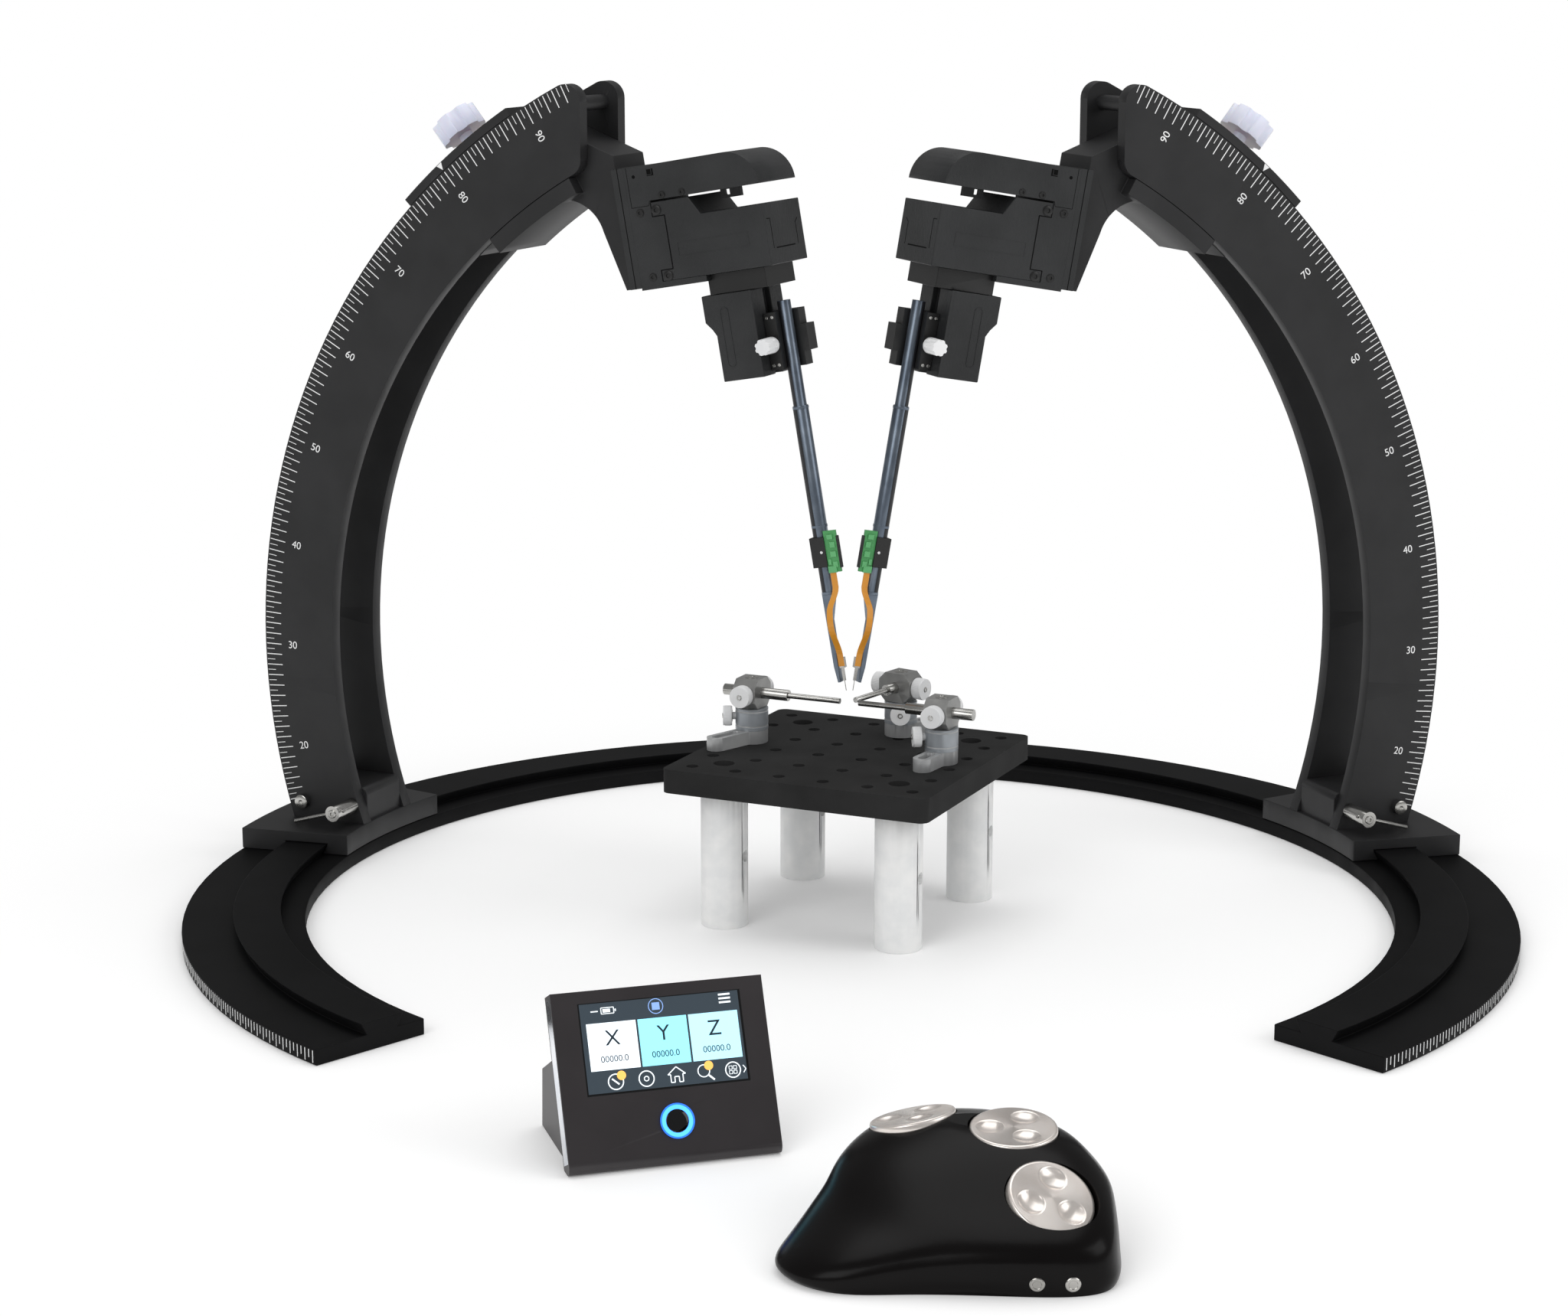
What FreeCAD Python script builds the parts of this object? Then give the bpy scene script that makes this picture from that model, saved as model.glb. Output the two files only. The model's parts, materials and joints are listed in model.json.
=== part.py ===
import FreeCAD, Part
import Sketcher
import math
import os
import re

Vector = FreeCAD.Vector

# Driving dimensions, in millimetres and degrees.
# The ring lies on the bench round the origin, open towards -Y, and X = 0 is the plane between the two arms.
DIMENSIONS = {
    # ring rail
    "ring_step": 17, "ring_width": 64, "ring_thick": 8, "ring_open": 88.6,
    "rail_inset": 25, "rail_foot": 18.6, "rail_head": 25, "rail_height": 6, "slide_gap": 0.3,
    # arm: shoe, arc and clamp lever
    "arm_azimuth": 156.38, "target_height": 122, "shoe_thick": 11.7, "shoe_angle": 19.5,
    "arc_inner": 307, "arc_width": 44.5, "arc_depth": 51, "plate_thick": 8, "wing_edge": 9.449, "wing_round": 9,
    "foot_inset": 15, "foot_length": 43.5, "block_rise": 19, "block_round": 4,
    "foot_pin_inset": 6, "foot_pin_rise": 9.6, "pin_radius": 4, "pin_proud": 3,
    "tie_inset": 10.5, "tie_elevation": 63.2,
    "lever_inset": 5.5, "lever_rise": 10.3, "lever_rest": 17, "hub_radius": 4.5, "hub_length": 20,
    "lever_shaft": 3, "bar_radius": 1.15, "bar_reach": 29, "bar_place": 15.5, "running_fit": 0.05,
    # carriage on the arc
    "knob_elevation": 51.4, "saddle_low": 45, "saddle_high": 58, "saddle_thick": 4.5,
    "web_low": 46.6, "web_high": 52.6, "stem_radius": 4, "stem_length": 44,
    "star_gap": 9.7, "star_thick": 12, "star_radius": 13, "star_bite": 4.2, "star_lobes": 6,
    "shoe_low": 49.3, "shoe_high": 60.4, "strip_drop": 9.5,
    # head, in the frame of the tilted probe: u away from the middle, v to the front, w up the probe
    "probe_tilt": 10, "head_depth": 45, "mount_u": 79, "mount_thick": 7, "mount_low": 226, "mount_high": 289.5,
    "column_u": 52, "ear_u": 59, "ear_high": 262, "ear_low": 234, "cover_low": 270.5, "cover_high": 289,
    "head_inner": -4.7, "nose_round": 18.5, "yoke_u": 33.5, "yoke_low": 224.8, "block_low": 228,
    "block_top": 269.5, "block_step": 260, "tab_u": 13, "tab_length": 11.6, "tab_drop": 4.8,
    "window_start": 6.2, "window_width": 3,
    "slide_inner": 2, "slide_outer": 35.4, "slide_depth": 35.4, "slide_travel": 12.5, "slide_back": 2.5,
    "flat_gap": 0.2, "guide_half": 5, "guide_rise": 3, "guide_inner": 8, "guide_outer": 30, "slide_low": 217.4,
    "lower_inner": 11.5, "lower_outer": 40.4, "lower_waist": 35.1, "lower_depth": 37,
    "lower_low": 171.5, "lower_high": 217.2, "waist_top": 203, "waist_end": 195.7, "cross_u": 20, "cross_half": 4,
    "cross_rise": 3.3, "cross_length": 16, "cross_travel": 6,
    "groove_half": 4.2, "groove_deep": 3.3,
    # probe clamp, rod and probe
    "rod_u": 2.4, "rod_radius": 3.5, "sleeve_radius": 4.1, "rod_top": 208.7, "sleeve_top": 153, "sleeve_low": 52,
    "clamp_low": 173.5, "clamp_high": 203.6, "tier_low": 181, "tier_high": 195, "clamp_front": 9, "clamp_back": 12,
    "tier_reach": 6.4, "tier_back": 14, "clamp_reach": 3.2, "lip_u": 4.4, "lip_v": 3.8,
    "knob_u": 6.9, "knob_w": 187, "knob_start": 13, "knob_end": 25, "knob_radius": 4.3, "knob_stem": 1.5,
    "clip_low": 67, "clip_high": 83, "board_low": 64, "board_high": 86, "board_left": 8, "clip_left": -3.4,
    "board_v": 3, "board_thick": 1.2, "spoon_low": 13, "tip_low": 4.5, "spoon_depth": 4.8, "spoon_left": 1.1,
    "ribbon_width": 3.4, "ribbon_thick": 0.4, "ribbon_bump": 4.2, "ribbon_drift": 5, "base_low": 12, "base_high": 17.5, "base_half": 1.5,
    "shank_low": 5, "needle_low": -0.5, "needle_radius": 0.2, "probe_u": 2,
    # stage
    "board_turn": -23.62, "board_size": 150, "board_plate": 12.7, "post_height": 75, "post_radius": 12.5,
    "post_spacing": 100, "cross_hole": 3.2, "cross_hole_z": 38.5, "grid_pitch": 25, "grid_hole": 3.2,
    "counterbore": 5.6, "counterbore_deep": 6.5, "corner_round": 5,
    # bar clamps on the stage
    "clamp_axis": 27.3, "foot_thick": 7, "foot_half": 5, "slot_half": 2.3, "slot_start": 12, "collar_radius": 8.75, "collar_top": 19,
    "spindle_radius": 4, "block_half_x": 6.5, "block_half_y": 10, "block_half_z": 8, "block_chamfer": 4,
    "clamp_rod": 3, "clamp_pin": 1.5, "wheel_radius": 5.7, "wheel_thick": 5.7, "wheel_stem": 2, "collar_knob_z": 14,
    # touch unit
    "touch_x": -72, "touch_y": -378.2, "touch_turn": 18.1, "panel_width": 94.2, "panel_height": 79.5, "panel_thick": 11,
    "panel_lean": 26, "lip_round": 4, "stand_width": 88, "stand_deep": 68, "screen_width": 72.5, "screen_height": 40,
    "screen_x": 0.4, "screen_low": 34.2, "screen_gap": 0.2, "screen_deep": 1.5, "button_x": 2, "button_z": 20.3, "button_radius": 7, "button_deep": 3.4,
    # dial unit
    "dial_unit_x": 41, "dial_unit_y": -455, "shell_width": 132, "shell_depth": 115.5, "shell_height": 44.8,
    "dial_radius": 18, "dial_thick": 6, "dial_sink": 3.2, "dial_stem": 3, "dial_seat_gap": 0.6,
    "dial_headroom": 14,
    "dimple_radius": 5.5, "dimple_deep": 1.6, "dimple_place": 9.6,
}

# Sizes that follow from the ones above.
DERIVED = {
    "ring_inner": "arc_inner - ring_step",
    "ring_outer": "ring_inner + ring_width",
    "rail_radius": "ring_inner + rail_inset",
    "arc_outer": "arc_inner + arc_width",
    "tie_radius": "arc_outer - tie_inset",
    "wing_x": "tie_radius * cos(tie_elevation) - wing_edge",
    "block_inner": "arc_inner - foot_inset",
    "block_outer": "block_inner + foot_length",
    "foot_pin_x": "block_outer - foot_pin_inset",
    "lever_x": "block_inner + lever_inset",
    "star_low": "arc_outer + slide_gap + saddle_thick + star_gap",
    "star_high": "star_low + star_thick",
    "stem_tip": "star_low - stem_length",
    "shoe_inner": "arc_inner - strip_drop",
}

# Bar clamps: distance from the middle, direction on the board, foot and side knob directions, rod end points.
BAR_CLAMPS = {
    "left": {"reach": 57.5, "bearing": 180, "foot": -110, "foot_reach": 27, "knob": -156.4, "tail": 16, "nose": 22},
    "right": {"reach": 53, "bearing": 0, "foot": 84, "foot_reach": 21, "knob": 28.6, "tail": 18, "nose": 20},
    "back": {"reach": 48, "bearing": 78, "foot": 152.2, "foot_reach": 30, "knob": 33.6, "tail": 14, "nose": 14},
}
ROD_TIP_GAP = 5.5

# Dials: place on the dial unit, direction of the tilt, tilt from upright.
DIALS = {
    "front": {"x": 38.5, "y": -24.5, "z": 27.5, "bearing": -60, "tilt": 34},
    "top": {"x": 26, "y": 14.6, "z": 41, "bearing": -90, "tilt": 6},
    "side": {"x": -14, "y": 33, "z": 38.5, "bearing": 139, "tilt": 15},
}

# Level curves of the dial unit's shell: height, then its x and y from the right side round by the back.
# They were drawn by eye at the size in DRAWN_SHELL (width, depth, height) and follow the named sizes from there.
SHELL_SIZES = ("shell_width", "shell_depth", "shell_height")
DRAWN_SHELL = (132, 115.5, 44.8)
SHELL_CURVES = [
    (0, (65, 58, 40.5, 12, -20, -44, -59, -66, -49, -20, 25, 60),
     (-5, 25, 48, 60, 52, 28, -2, -32, -50, -52, -53, -47)),
    (8, (66, 59, 41, 12, -21, -45, -60, -66, -49, -20, 25, 61),
     (-5, 26, 49.5, 61.5, 53, 29, -2, -31, -50.5, -53, -54, -47)),
    (20, (65.5, 58, 40, 12, -19.5, -41, -51.5, -49, -37, -10, 24, 59),
     (-4, 26, 48.5, 59.5, 52, 30, 4, -14, -30, -45, -50.5, -42)),
    (28, (63.5, 56.5, 39.5, 12, -16.5, -36, -45.5, -42.5, -29, -6, 22, 54),
     (-2, 25, 47, 57, 52, 36, 14, -2, -17, -30, -35, -30)),
    (35, (57, 51, 35.5, 12, -12, -29, -36, -33, -20, 0, 22, 47),
     (4, 25, 43, 52, 50, 40, 22, 8, -6, -16, -20, -15)),
    (40, (49, 44, 31, 12, -6, -18, -24, -20, -9, 6, 21, 39),
     (9, 26, 38, 45, 44, 38, 27, 14, 3, -5, -8, -5)),
    (43.5, (36, 32, 24, 12, 2, -6, -9, -6, 1, 9, 19, 30),
     (13, 23, 30, 34, 33, 29, 23, 15, 9, 5, 4, 6)),
    (44.8, (26, 24, 18, 12, 6, 1, -1, 1, 5, 10, 18, 23),
     (16, 21, 25, 27, 27, 25, 21, 17, 14, 12, 11.5, 13)),
]

DOCUMENT = FreeCAD.newDocument("micromanipulator")
SHEET = DOCUMENT.addObject("Spreadsheet::Sheet", "Dims")
NODES = {}


def fill_sheet():
    formulas = {name: "=" + text for name, text in DERIVED.items()}
    for row, (name, content) in enumerate({**DIMENSIONS, **formulas}.items(), 1):
        SHEET.set("A%d" % row, name)
        SHEET.set("B%d" % row, str(content))
        SHEET.setAlias("B%d" % row, name)
    DOCUMENT.recompute()


NAMES = re.compile(r"\b(" + "|".join({**DIMENSIONS, **DERIVED}) + r")\b")


def bound(text):
    """The same formula with each dimension's name pointing at the sheet."""
    return NAMES.sub(r"Dims.\1", str(text))


def size(text):
    number = SHEET.evalExpression(bound(text))
    return float(getattr(number, "Value", number))


def spot(x, y, z):
    return "vector(%s; %s; %s)" % (x, y, z)


def frame(place, axis=(0, 0, 1), angle=0):
    return "placement(%s; rotation(%s; %s))" % (spot(*place), spot(*axis), angle)


ARM = frame((0, 0, 0), (0, 0, 1), "arm_azimuth")
HEAD = ARM + " * " + frame((0, 0, "target_height"), (0, 1, 0), "probe_tilt")
SADDLE = ARM + " * " + frame((0, 0, "target_height"), (0, 1, 0), "90 - knob_elevation")
SHOE_TOP = "(ring_thick + slide_gap + shoe_thick)"
LEVER = ARM + " * " + frame(("lever_x", 0, SHOE_TOP + " + lever_rise"), (0, 1, 0), "lever_rest")
ROD = HEAD + " * " + frame(("rod_u", 0, 0))
STAGE = frame((0, 0, 0), (0, 0, 1), "board_turn")
BOARD_TOP = "(post_height + board_plate)"
TOUCH = frame(("touch_x", "touch_y", 0), (0, 0, 1), "touch_turn")
PANEL = TOUCH + " * " + frame((0, 0, 0), (1, 0, 0), "-panel_lean")
DIAL_UNIT = frame(("dial_unit_x", "dial_unit_y", 0))


def bar_clamp_frame(clamp):
    x = "%s * cos(%s)" % (clamp["reach"], clamp["bearing"])
    y = "%s * sin(%s)" % (clamp["reach"], clamp["bearing"])
    return STAGE + " * " + frame((x, y, BOARD_TOP), (0, 0, 1), clamp["bearing"] + 180)


def dial_frame(dial):
    turned = frame((dial["x"], dial["y"], dial["z"]), (0, 0, 1), dial["bearing"])
    return DIAL_UNIT + " * " + turned + " * " + frame((0, 0, 0), (0, 1, 0), dial["tilt"])


def polar(radius, elevation):
    """A point round the target, in the arm's upright plane."""
    x = "%s * cos(%s)" % (radius, elevation)
    return x, "target_height + %s * sin(%s)" % (radius, elevation)


def on_knob_axis(radius, elevation):
    """The same point in the saddle's frame, whose z axis is the star knob's."""
    turn = "(knob_elevation - %s)" % elevation
    return "%s * sin%s" % (radius, turn), "%s * cos%s" % (radius, turn)


def from_head(u, w):
    """A point of the tilted head frame, in the arm's upright plane."""
    x = "(%s) * cos(probe_tilt) + (%s) * sin(probe_tilt)" % (u, w)
    return x, "target_height + (%s) * cos(probe_tilt) - (%s) * sin(probe_tilt)" % (w, u)


def box(x1, y1, x2, y2):
    return [(x1, y1), (x2, y1), (x2, y2), (x1, y2)]


def arc_middle(start, end, radius, turn):
    """A point on the short arc from start to end; turn is 1 for anticlockwise."""
    half = (end - start) * 0.5
    side = Vector(-half.y, half.x, 0).normalize() * turn
    centre = start + half + side * math.sqrt(max(radius ** 2 - half.Length ** 2, 0))
    return centre - side * radius


def tie(sketch, geometry, corner, x, y):
    """Bind one point of a sketch to two formulas."""
    for kind, text in (("DistanceX", x), ("DistanceY", y)):
        index = sketch.addConstraint(Sketcher.Constraint(kind, -1, 1, geometry, corner, size(text)))
        sketch.setExpression("Constraints[%d]" % index, bound(text))


def bind_radius(sketch, geometry, radius):
    index = sketch.addConstraint(Sketcher.Constraint("Radius", geometry, size(radius)))
    sketch.setExpression("Constraints[%d]" % index, bound(radius))


def draw_circle(sketch, x, y, radius):
    geometry = sketch.addGeometry(Part.Circle(Vector(size(x), size(y), 0), Vector(0, 0, 1), size(radius)))
    tie(sketch, geometry, 3, x, y)
    bind_radius(sketch, geometry, radius)


def draw_outline(sketch, points):
    """A closed outline. A point is (x, y), or (x, y, radius, turn) where an arc leads to the next one."""
    corners = [Vector(size(point[0]), size(point[1]), 0) for point in points]
    starts = []
    for index, point in enumerate(points):
        start = corners[index]
        end = corners[(index + 1) % len(points)]
        if len(point) == 2:
            geometry = sketch.addGeometry(Part.LineSegment(start, end))
            starts.append((geometry, 1, 2))
            continue
        middle = arc_middle(start, end, size(point[2]), point[3])
        if point[3] == 1:
            geometry = sketch.addGeometry(Part.Arc(start, middle, end))
            starts.append((geometry, 1, 2))
        else:
            geometry = sketch.addGeometry(Part.Arc(end, middle, start))
            starts.append((geometry, 2, 1))
    for index, (geometry, begin, finish) in enumerate(starts):
        following = starts[(index + 1) % len(starts)]
        sketch.addConstraint(Sketcher.Constraint("Coincident", geometry, finish, following[0], following[1]))
        tie(sketch, geometry, begin, points[index][0], points[index][1])
        if len(points[index]) == 4:
            bind_radius(sketch, geometry, points[index][2])


class Piece:
    """A PartDesign body, with short names for the features that the sub-parts are made of."""

    def __init__(self, label, place):
        self.body = DOCUMENT.addObject("PartDesign::Body", label)
        self.body.Label = label
        self.body.AllowCompound = True
        self.body.setExpression("Placement", bound(place))

    def sketch(self, shapes, plane, level):
        sketch = self.body.newObject("Sketcher::SketchObject", "Sketch")
        origin = [part for part in self.body.Origin.OriginFeatures if part.Role == plane + "_Plane"][0]
        sketch.AttachmentSupport = (origin, "")
        sketch.MapMode = "FlatFace"
        sketch.setExpression(".AttachmentOffset.Base.z", bound(level))
        for shape in shapes:
            if shape[0] == "circle":
                draw_circle(sketch, *shape[1:])
            else:
                draw_outline(sketch, shape)
        return sketch

    def feature(self, kind, sketch, **sizes):
        feature = self.body.newObject("PartDesign::" + kind, kind)
        feature.Profile = sketch
        for name, text in sizes.items():
            feature.setExpression(name, bound(text))
        return feature

    def add(self, shapes, low, high, plane="XZ"):
        """Pad the outlines from low to high along the plane's own axis."""
        level = "-(%s)" % high if plane == "XZ" else low
        self.feature("Pad", self.sketch(shapes, plane, level), Length="(%s) - (%s)" % (high, low))
        return self

    def cut(self, shapes, low, high, plane="XZ"):
        level = "-(%s)" % low if plane == "XZ" else high
        self.feature("Pocket", self.sketch(shapes, plane, level), Length="(%s) - (%s)" % (high, low))
        return self

    def across(self, shapes, depth):
        """Pad the outlines evenly to both sides of the upright plane."""
        return self.add(shapes, "-(%s) / 2" % depth, "(%s) / 2" % depth)

    def cut_across(self, shapes, depth):
        return self.cut(shapes, "-(%s) / 2" % depth, "(%s) / 2" % depth)

    def revolve(self, shapes, angle, midplane=False):
        sketch = self.sketch(shapes, "XZ", 0)
        feature = self.feature("Revolution", sketch, Angle=angle)
        feature.ReferenceAxis = (sketch, ["V_Axis"])
        feature.Midplane = midplane
        return self

    def round(self, radius, choose, kind="Fillet"):
        """Round or chamfer the edges whose middle and direction pass the test."""
        DOCUMENT.recompute()
        tip = self.body.Tip
        names = []
        for index, edge in enumerate(tip.Shape.Edges, 1):
            ends = [vertex.Point for vertex in edge.Vertexes]
            if len(ends) != 2:
                continue
            middle = edge.valueAt((edge.FirstParameter + edge.LastParameter) / 2)
            if choose(middle, (ends[1] - ends[0]).normalize()):
                names.append("Edge%d" % index)
        feature = self.body.newObject("PartDesign::" + kind, kind)
        feature.Base = (tip, names)
        feature.setExpression("Radius" if kind == "Fillet" else "Size", bound(radius))
        self.body.Tip = feature
        return self

    def keep(self):
        NODES[self.body.Label] = self.body
        return self.body


def boolean(kind, label, base, tool):
    result = DOCUMENT.addObject("Part::" + kind, label)
    result.Label = label
    result.Base = base
    result.Tool = tool
    return result


def make_ring_rail():
    outer_foot = "rail_radius + rail_foot / 2"
    inner_foot = "rail_radius - rail_foot / 2"
    rail_top = "ring_thick + rail_height"
    profile = [
        ("ring_inner", 0), ("ring_outer", 0), ("ring_outer", "ring_thick"), (outer_foot, "ring_thick"),
        ("rail_radius + rail_head / 2", rail_top), ("rail_radius - rail_head / 2", rail_top),
        (inner_foot, "ring_thick"), ("ring_inner", "ring_thick"),
    ]
    ring = Piece("ring_rail", frame((0, 0, 0), (0, 0, 1), "ring_open / 2 - 90"))
    ring.revolve([profile], "360 - ring_open").keep()


def make_shoe():
    low = "ring_thick + slide_gap"
    groove_top = "ring_thick + rail_height + slide_gap"
    gap = "1.6 * slide_gap"
    profile = [
        ("ring_inner", low), ("rail_radius - rail_foot / 2 - " + gap, low),
        ("rail_radius - rail_head / 2 - " + gap, groove_top), ("rail_radius + rail_head / 2 + " + gap, groove_top),
        ("rail_radius + rail_foot / 2 + " + gap, low), ("ring_outer", low),
        ("ring_outer", SHOE_TOP), ("ring_inner", SHOE_TOP),
    ]
    top = SHOE_TOP + " + block_rise"
    block = [
        ("block_inner", SHOE_TOP + " - 2"), ("block_outer", SHOE_TOP + " - 2"), ("block_outer", top),
        ("block_inner + block_round", top, "block_round", 1), ("block_inner", top + " - block_round"),
    ]
    shoe = Piece("left_shoe", ARM)
    shoe.revolve([profile], "shoe_angle", midplane=True)
    shoe.across([block], "arc_depth - 2 * plate_thick")
    shoe.cut_across(foot_bores(), "arc_depth")
    return shoe.keep()


def foot_bores():
    pin = ("circle", "foot_pin_x", SHOE_TOP + " + foot_pin_rise", "pin_radius")
    lever = ("circle", "lever_x", SHOE_TOP + " + lever_rise", "lever_shaft + running_fit")
    return [pin, lever]


def make_arc():
    drop = "(%s - target_height)" % SHOE_TOP
    outline = [
        ("sqrt(arc_inner ^ 2 - %s ^ 2)" % drop, SHOE_TOP),
        ("sqrt(arc_outer ^ 2 - %s ^ 2)" % drop, SHOE_TOP, "arc_outer", 1),
        ("wing_x", "target_height + sqrt(arc_outer ^ 2 - wing_x ^ 2)"),
        ("wing_x", "target_height + sqrt(arc_inner ^ 2 - wing_x ^ 2)", "arc_inner", -1),
    ]
    gap = "arc_depth - 2 * plate_thick"
    arc = Piece("left_arc", ARM)
    arc.across([outline], "arc_depth")
    whole = box("wing_x - 20", "ring_thick", "arc_outer + 20", "target_height + arc_outer")
    arc.cut_across([whole], gap)
    arc.cut_across(foot_bores(), "arc_depth + 2")
    wing = size("wing_x")
    arc.round("wing_round", lambda middle, run: abs(middle.x - wing) < 0.1 and abs(run.y) > 0.99)
    pin = ("circle", "foot_pin_x", SHOE_TOP + " + foot_pin_rise", "pin_radius")
    tie_rod = ("circle",) + polar("tie_radius", "tie_elevation") + ("pin_radius",)
    arc.across([pin], "arc_depth + 2 * pin_proud")
    arc.across([tie_rod], "arc_depth - plate_thick")
    return arc.keep()


def make_clamp_lever():
    lever = Piece("left_clamp_lever", LEVER)
    face = "arc_depth / 2 + slide_gap"
    lever.add([("circle", 0, 0, "hub_radius")], face, face + " + hub_length")
    lever.add([("circle", 0, 0, "lever_shaft")], "1 - arc_depth / 2", face + " + 1")
    across = ("circle", face + " + bar_place", 0, "bar_radius")
    lever.add([across], "-hub_radius - 1", "bar_reach", plane="YZ")
    return lever.keep()


def sector(inner, outer, low, high, place):
    return [
        place(inner, low),
        place(outer, low) + (outer, 1 if place is polar else -1),
        place(outer, high),
        place(inner, high) + (inner, -1 if place is polar else 1),
    ]


def make_saddle():
    inside = "(arc_outer + slide_gap)"
    outside = "(arc_outer + slide_gap + saddle_thick)"
    strip = [
        on_knob_axis(inside, "saddle_high"),
        on_knob_axis(outside, "saddle_high") + (outside, -1),
        on_knob_axis(outside, "saddle_low"),
        on_knob_axis(inside, "saddle_low") + (inside, 1),
    ]
    web = [
        on_knob_axis("(arc_inner - slide_gap)", "web_high"),
        on_knob_axis(inside, "web_high"),
        on_knob_axis(inside, "web_low"),
        on_knob_axis("(arc_inner - slide_gap)", "web_low") + ("(arc_inner - slide_gap)", 1),
    ]
    web[1] = web[1] + (inside, -1)
    saddle = Piece("left_saddle", SADDLE)
    saddle.across([strip], "arc_depth")
    saddle.across([web], "arc_depth - 2 * plate_thick - 2 * slide_gap")
    bore = ("circle", 0, 0, "stem_radius + running_fit")
    saddle.cut([bore], "stem_tip - 1", outside + " + 1", plane="XY")
    return saddle.keep()


def lobes(x, y, radius, bite, count):
    """Circles round a knob's rim that leave its lobes standing."""
    reach = "(%s + %s * 0.55)" % (radius, bite)
    shapes = []
    for index in range(count):
        turn = 360 / count * index
        shapes.append(("circle", "%s + %s * cos(%s)" % (x, reach, turn), "%s + %s * sin(%s)" % (y, reach, turn), bite))
    return shapes


def make_star_knob():
    knob = Piece("left_star_knob", SADDLE)
    knob.add([("circle", 0, 0, "star_radius")], "star_low", "star_high", plane="XY")
    count = int(size("star_lobes"))
    knob.cut(lobes(0, 0, "star_radius", "star_bite", count), "star_low", "star_high", plane="XY")
    knob.add([("circle", 0, 0, "stem_radius")], "stem_tip", "star_low + 1", plane="XY")
    return knob.keep()


def make_bracket():
    face = "web_high"
    under = "shoe_inner"
    reach = "(tie_radius - pin_radius - 2 * slide_gap)"
    arm = [
        from_head("mount_u", "mount_low"),
        from_head("mount_u + 5", "mount_low"),
        from_head("mount_u + 13", "mount_low + 31.7") + (24, -1),
        from_head("mount_u + 29.4", "mount_low + 51.2"),
        polar(under, 59.2) + (under, -1),
        polar(under, face),
        polar(reach, face) + (reach, 1),
        polar(reach, "shoe_high"),
        from_head("mount_u", "mount_low + 70.5"),
    ]
    outside = "(arc_inner - slide_gap)"
    strip = [
        polar(under, "shoe_low"),
        polar(outside, "shoe_low") + (outside, 1),
        polar(outside, "shoe_high"),
        polar(under, "shoe_high") + (under, -1),
    ]
    bracket = Piece("left_bracket", ARM)
    bracket.across([arm], "arc_depth - 2 * plate_thick - 2 * slide_gap")
    bracket.across([strip], "arc_depth")
    return bracket.keep()


def make_adapter_plate():
    plate = Piece("left_adapter_plate", HEAD)
    outline = box("mount_u - mount_thick", "mount_low", "mount_u", "mount_high")
    return plate.across([outline], "head_depth").keep()


def make_head_base():
    back = "mount_u - mount_thick"
    outline = [
        (back, "yoke_low"),
        (back, "cover_high"),
        ("head_inner + nose_round", "cover_high", "nose_round", 1),
        ("head_inner", "cover_low"),
        ("ear_u", "cover_low"),
        ("ear_u", "ear_high"),
        ("column_u", "ear_high"),
        ("column_u", "ear_low"),
        ("ear_u", "ear_low"),
        ("ear_u", "block_low"),
        ("yoke_u", "block_low"),
        ("yoke_u", "yoke_low"),
    ]
    slot = box("yoke_u - 1", "yoke_low - 1", "slide_outer + slide_travel + flat_gap", "block_low")
    tab = box("tab_u", "cover_low - tab_drop", "tab_u + tab_length", "cover_low + 1")
    base = Piece("left_head_base", HEAD)
    base.across([outline], "head_depth")
    base.cut_across([slot], "slide_depth + 4 * flat_gap")
    base.add([tab], "head_depth / 8", "head_depth / 8 + 3")
    window = box("tab_u + window_start", "cover_low - tab_drop + 1.6", "tab_u + window_start + window_width", "cover_low - 0.4")
    base.cut([window], "head_depth / 8 - 1", "head_depth / 8 + 4")
    return base.keep()


def make_head_block():
    outline = [
        ("head_inner", "block_low"),
        ("ear_u", "block_low"),
        ("ear_u", "ear_low"),
        ("column_u", "ear_low"),
        ("column_u", "ear_high"),
        ("ear_u", "ear_high"),
        ("ear_u", "block_top"),
        ("head_inner + 41.5", "block_top"),
        ("head_inner + 35.6", "block_step"),
        ("head_inner", "block_step"),
    ]
    block = Piece("left_head_block", HEAD)
    block.across([outline], "head_depth")
    top = "block_low + guide_rise + flat_gap"
    groove = box("guide_inner - slide_back - flat_gap", "block_low - 1", "guide_outer + slide_travel + flat_gap", top)
    block.cut_across([groove], "2 * guide_half + 2 * flat_gap")
    return block.keep()


def make_cross_slide():
    top = "block_low - flat_gap"
    slide = Piece("left_cross_slide", HEAD)
    slide.across([box("slide_inner", "slide_low", "slide_outer", top)], "slide_depth")
    guide = box("guide_inner", top + " - 1", "guide_outer", "block_low + guide_rise")
    slide.across([guide], "2 * guide_half")
    half = "(cross_half + flat_gap)"
    groove = box("cross_u - " + half, "slide_low - 1", "cross_u + " + half, "lower_high + cross_rise + flat_gap")
    slide.cut_across([groove], "cross_length + 2 * cross_travel + 2 * flat_gap")
    return slide.keep()


def make_lower_head():
    outline = [
        ("lower_inner", "lower_low"),
        ("lower_waist", "lower_low"),
        ("lower_waist", "waist_end"),
        ("lower_waist + 2", "waist_end + 3.5"),
        ("lower_outer", "waist_top"),
        ("lower_outer", "lower_high"),
        ("lower_inner", "lower_high"),
    ]
    head = Piece("left_lower_head", HEAD)
    head.across([outline], "lower_depth")
    guide = box("cross_u - cross_half", "lower_high - 1", "cross_u + cross_half", "lower_high + cross_rise")
    head.across([guide], "cross_length")
    groove = box("lower_inner - 1", "lower_low - 1", "lower_inner + groove_deep", "lower_high + 1")
    head.cut_across([groove], "2 * groove_half")
    return head.keep()


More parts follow.
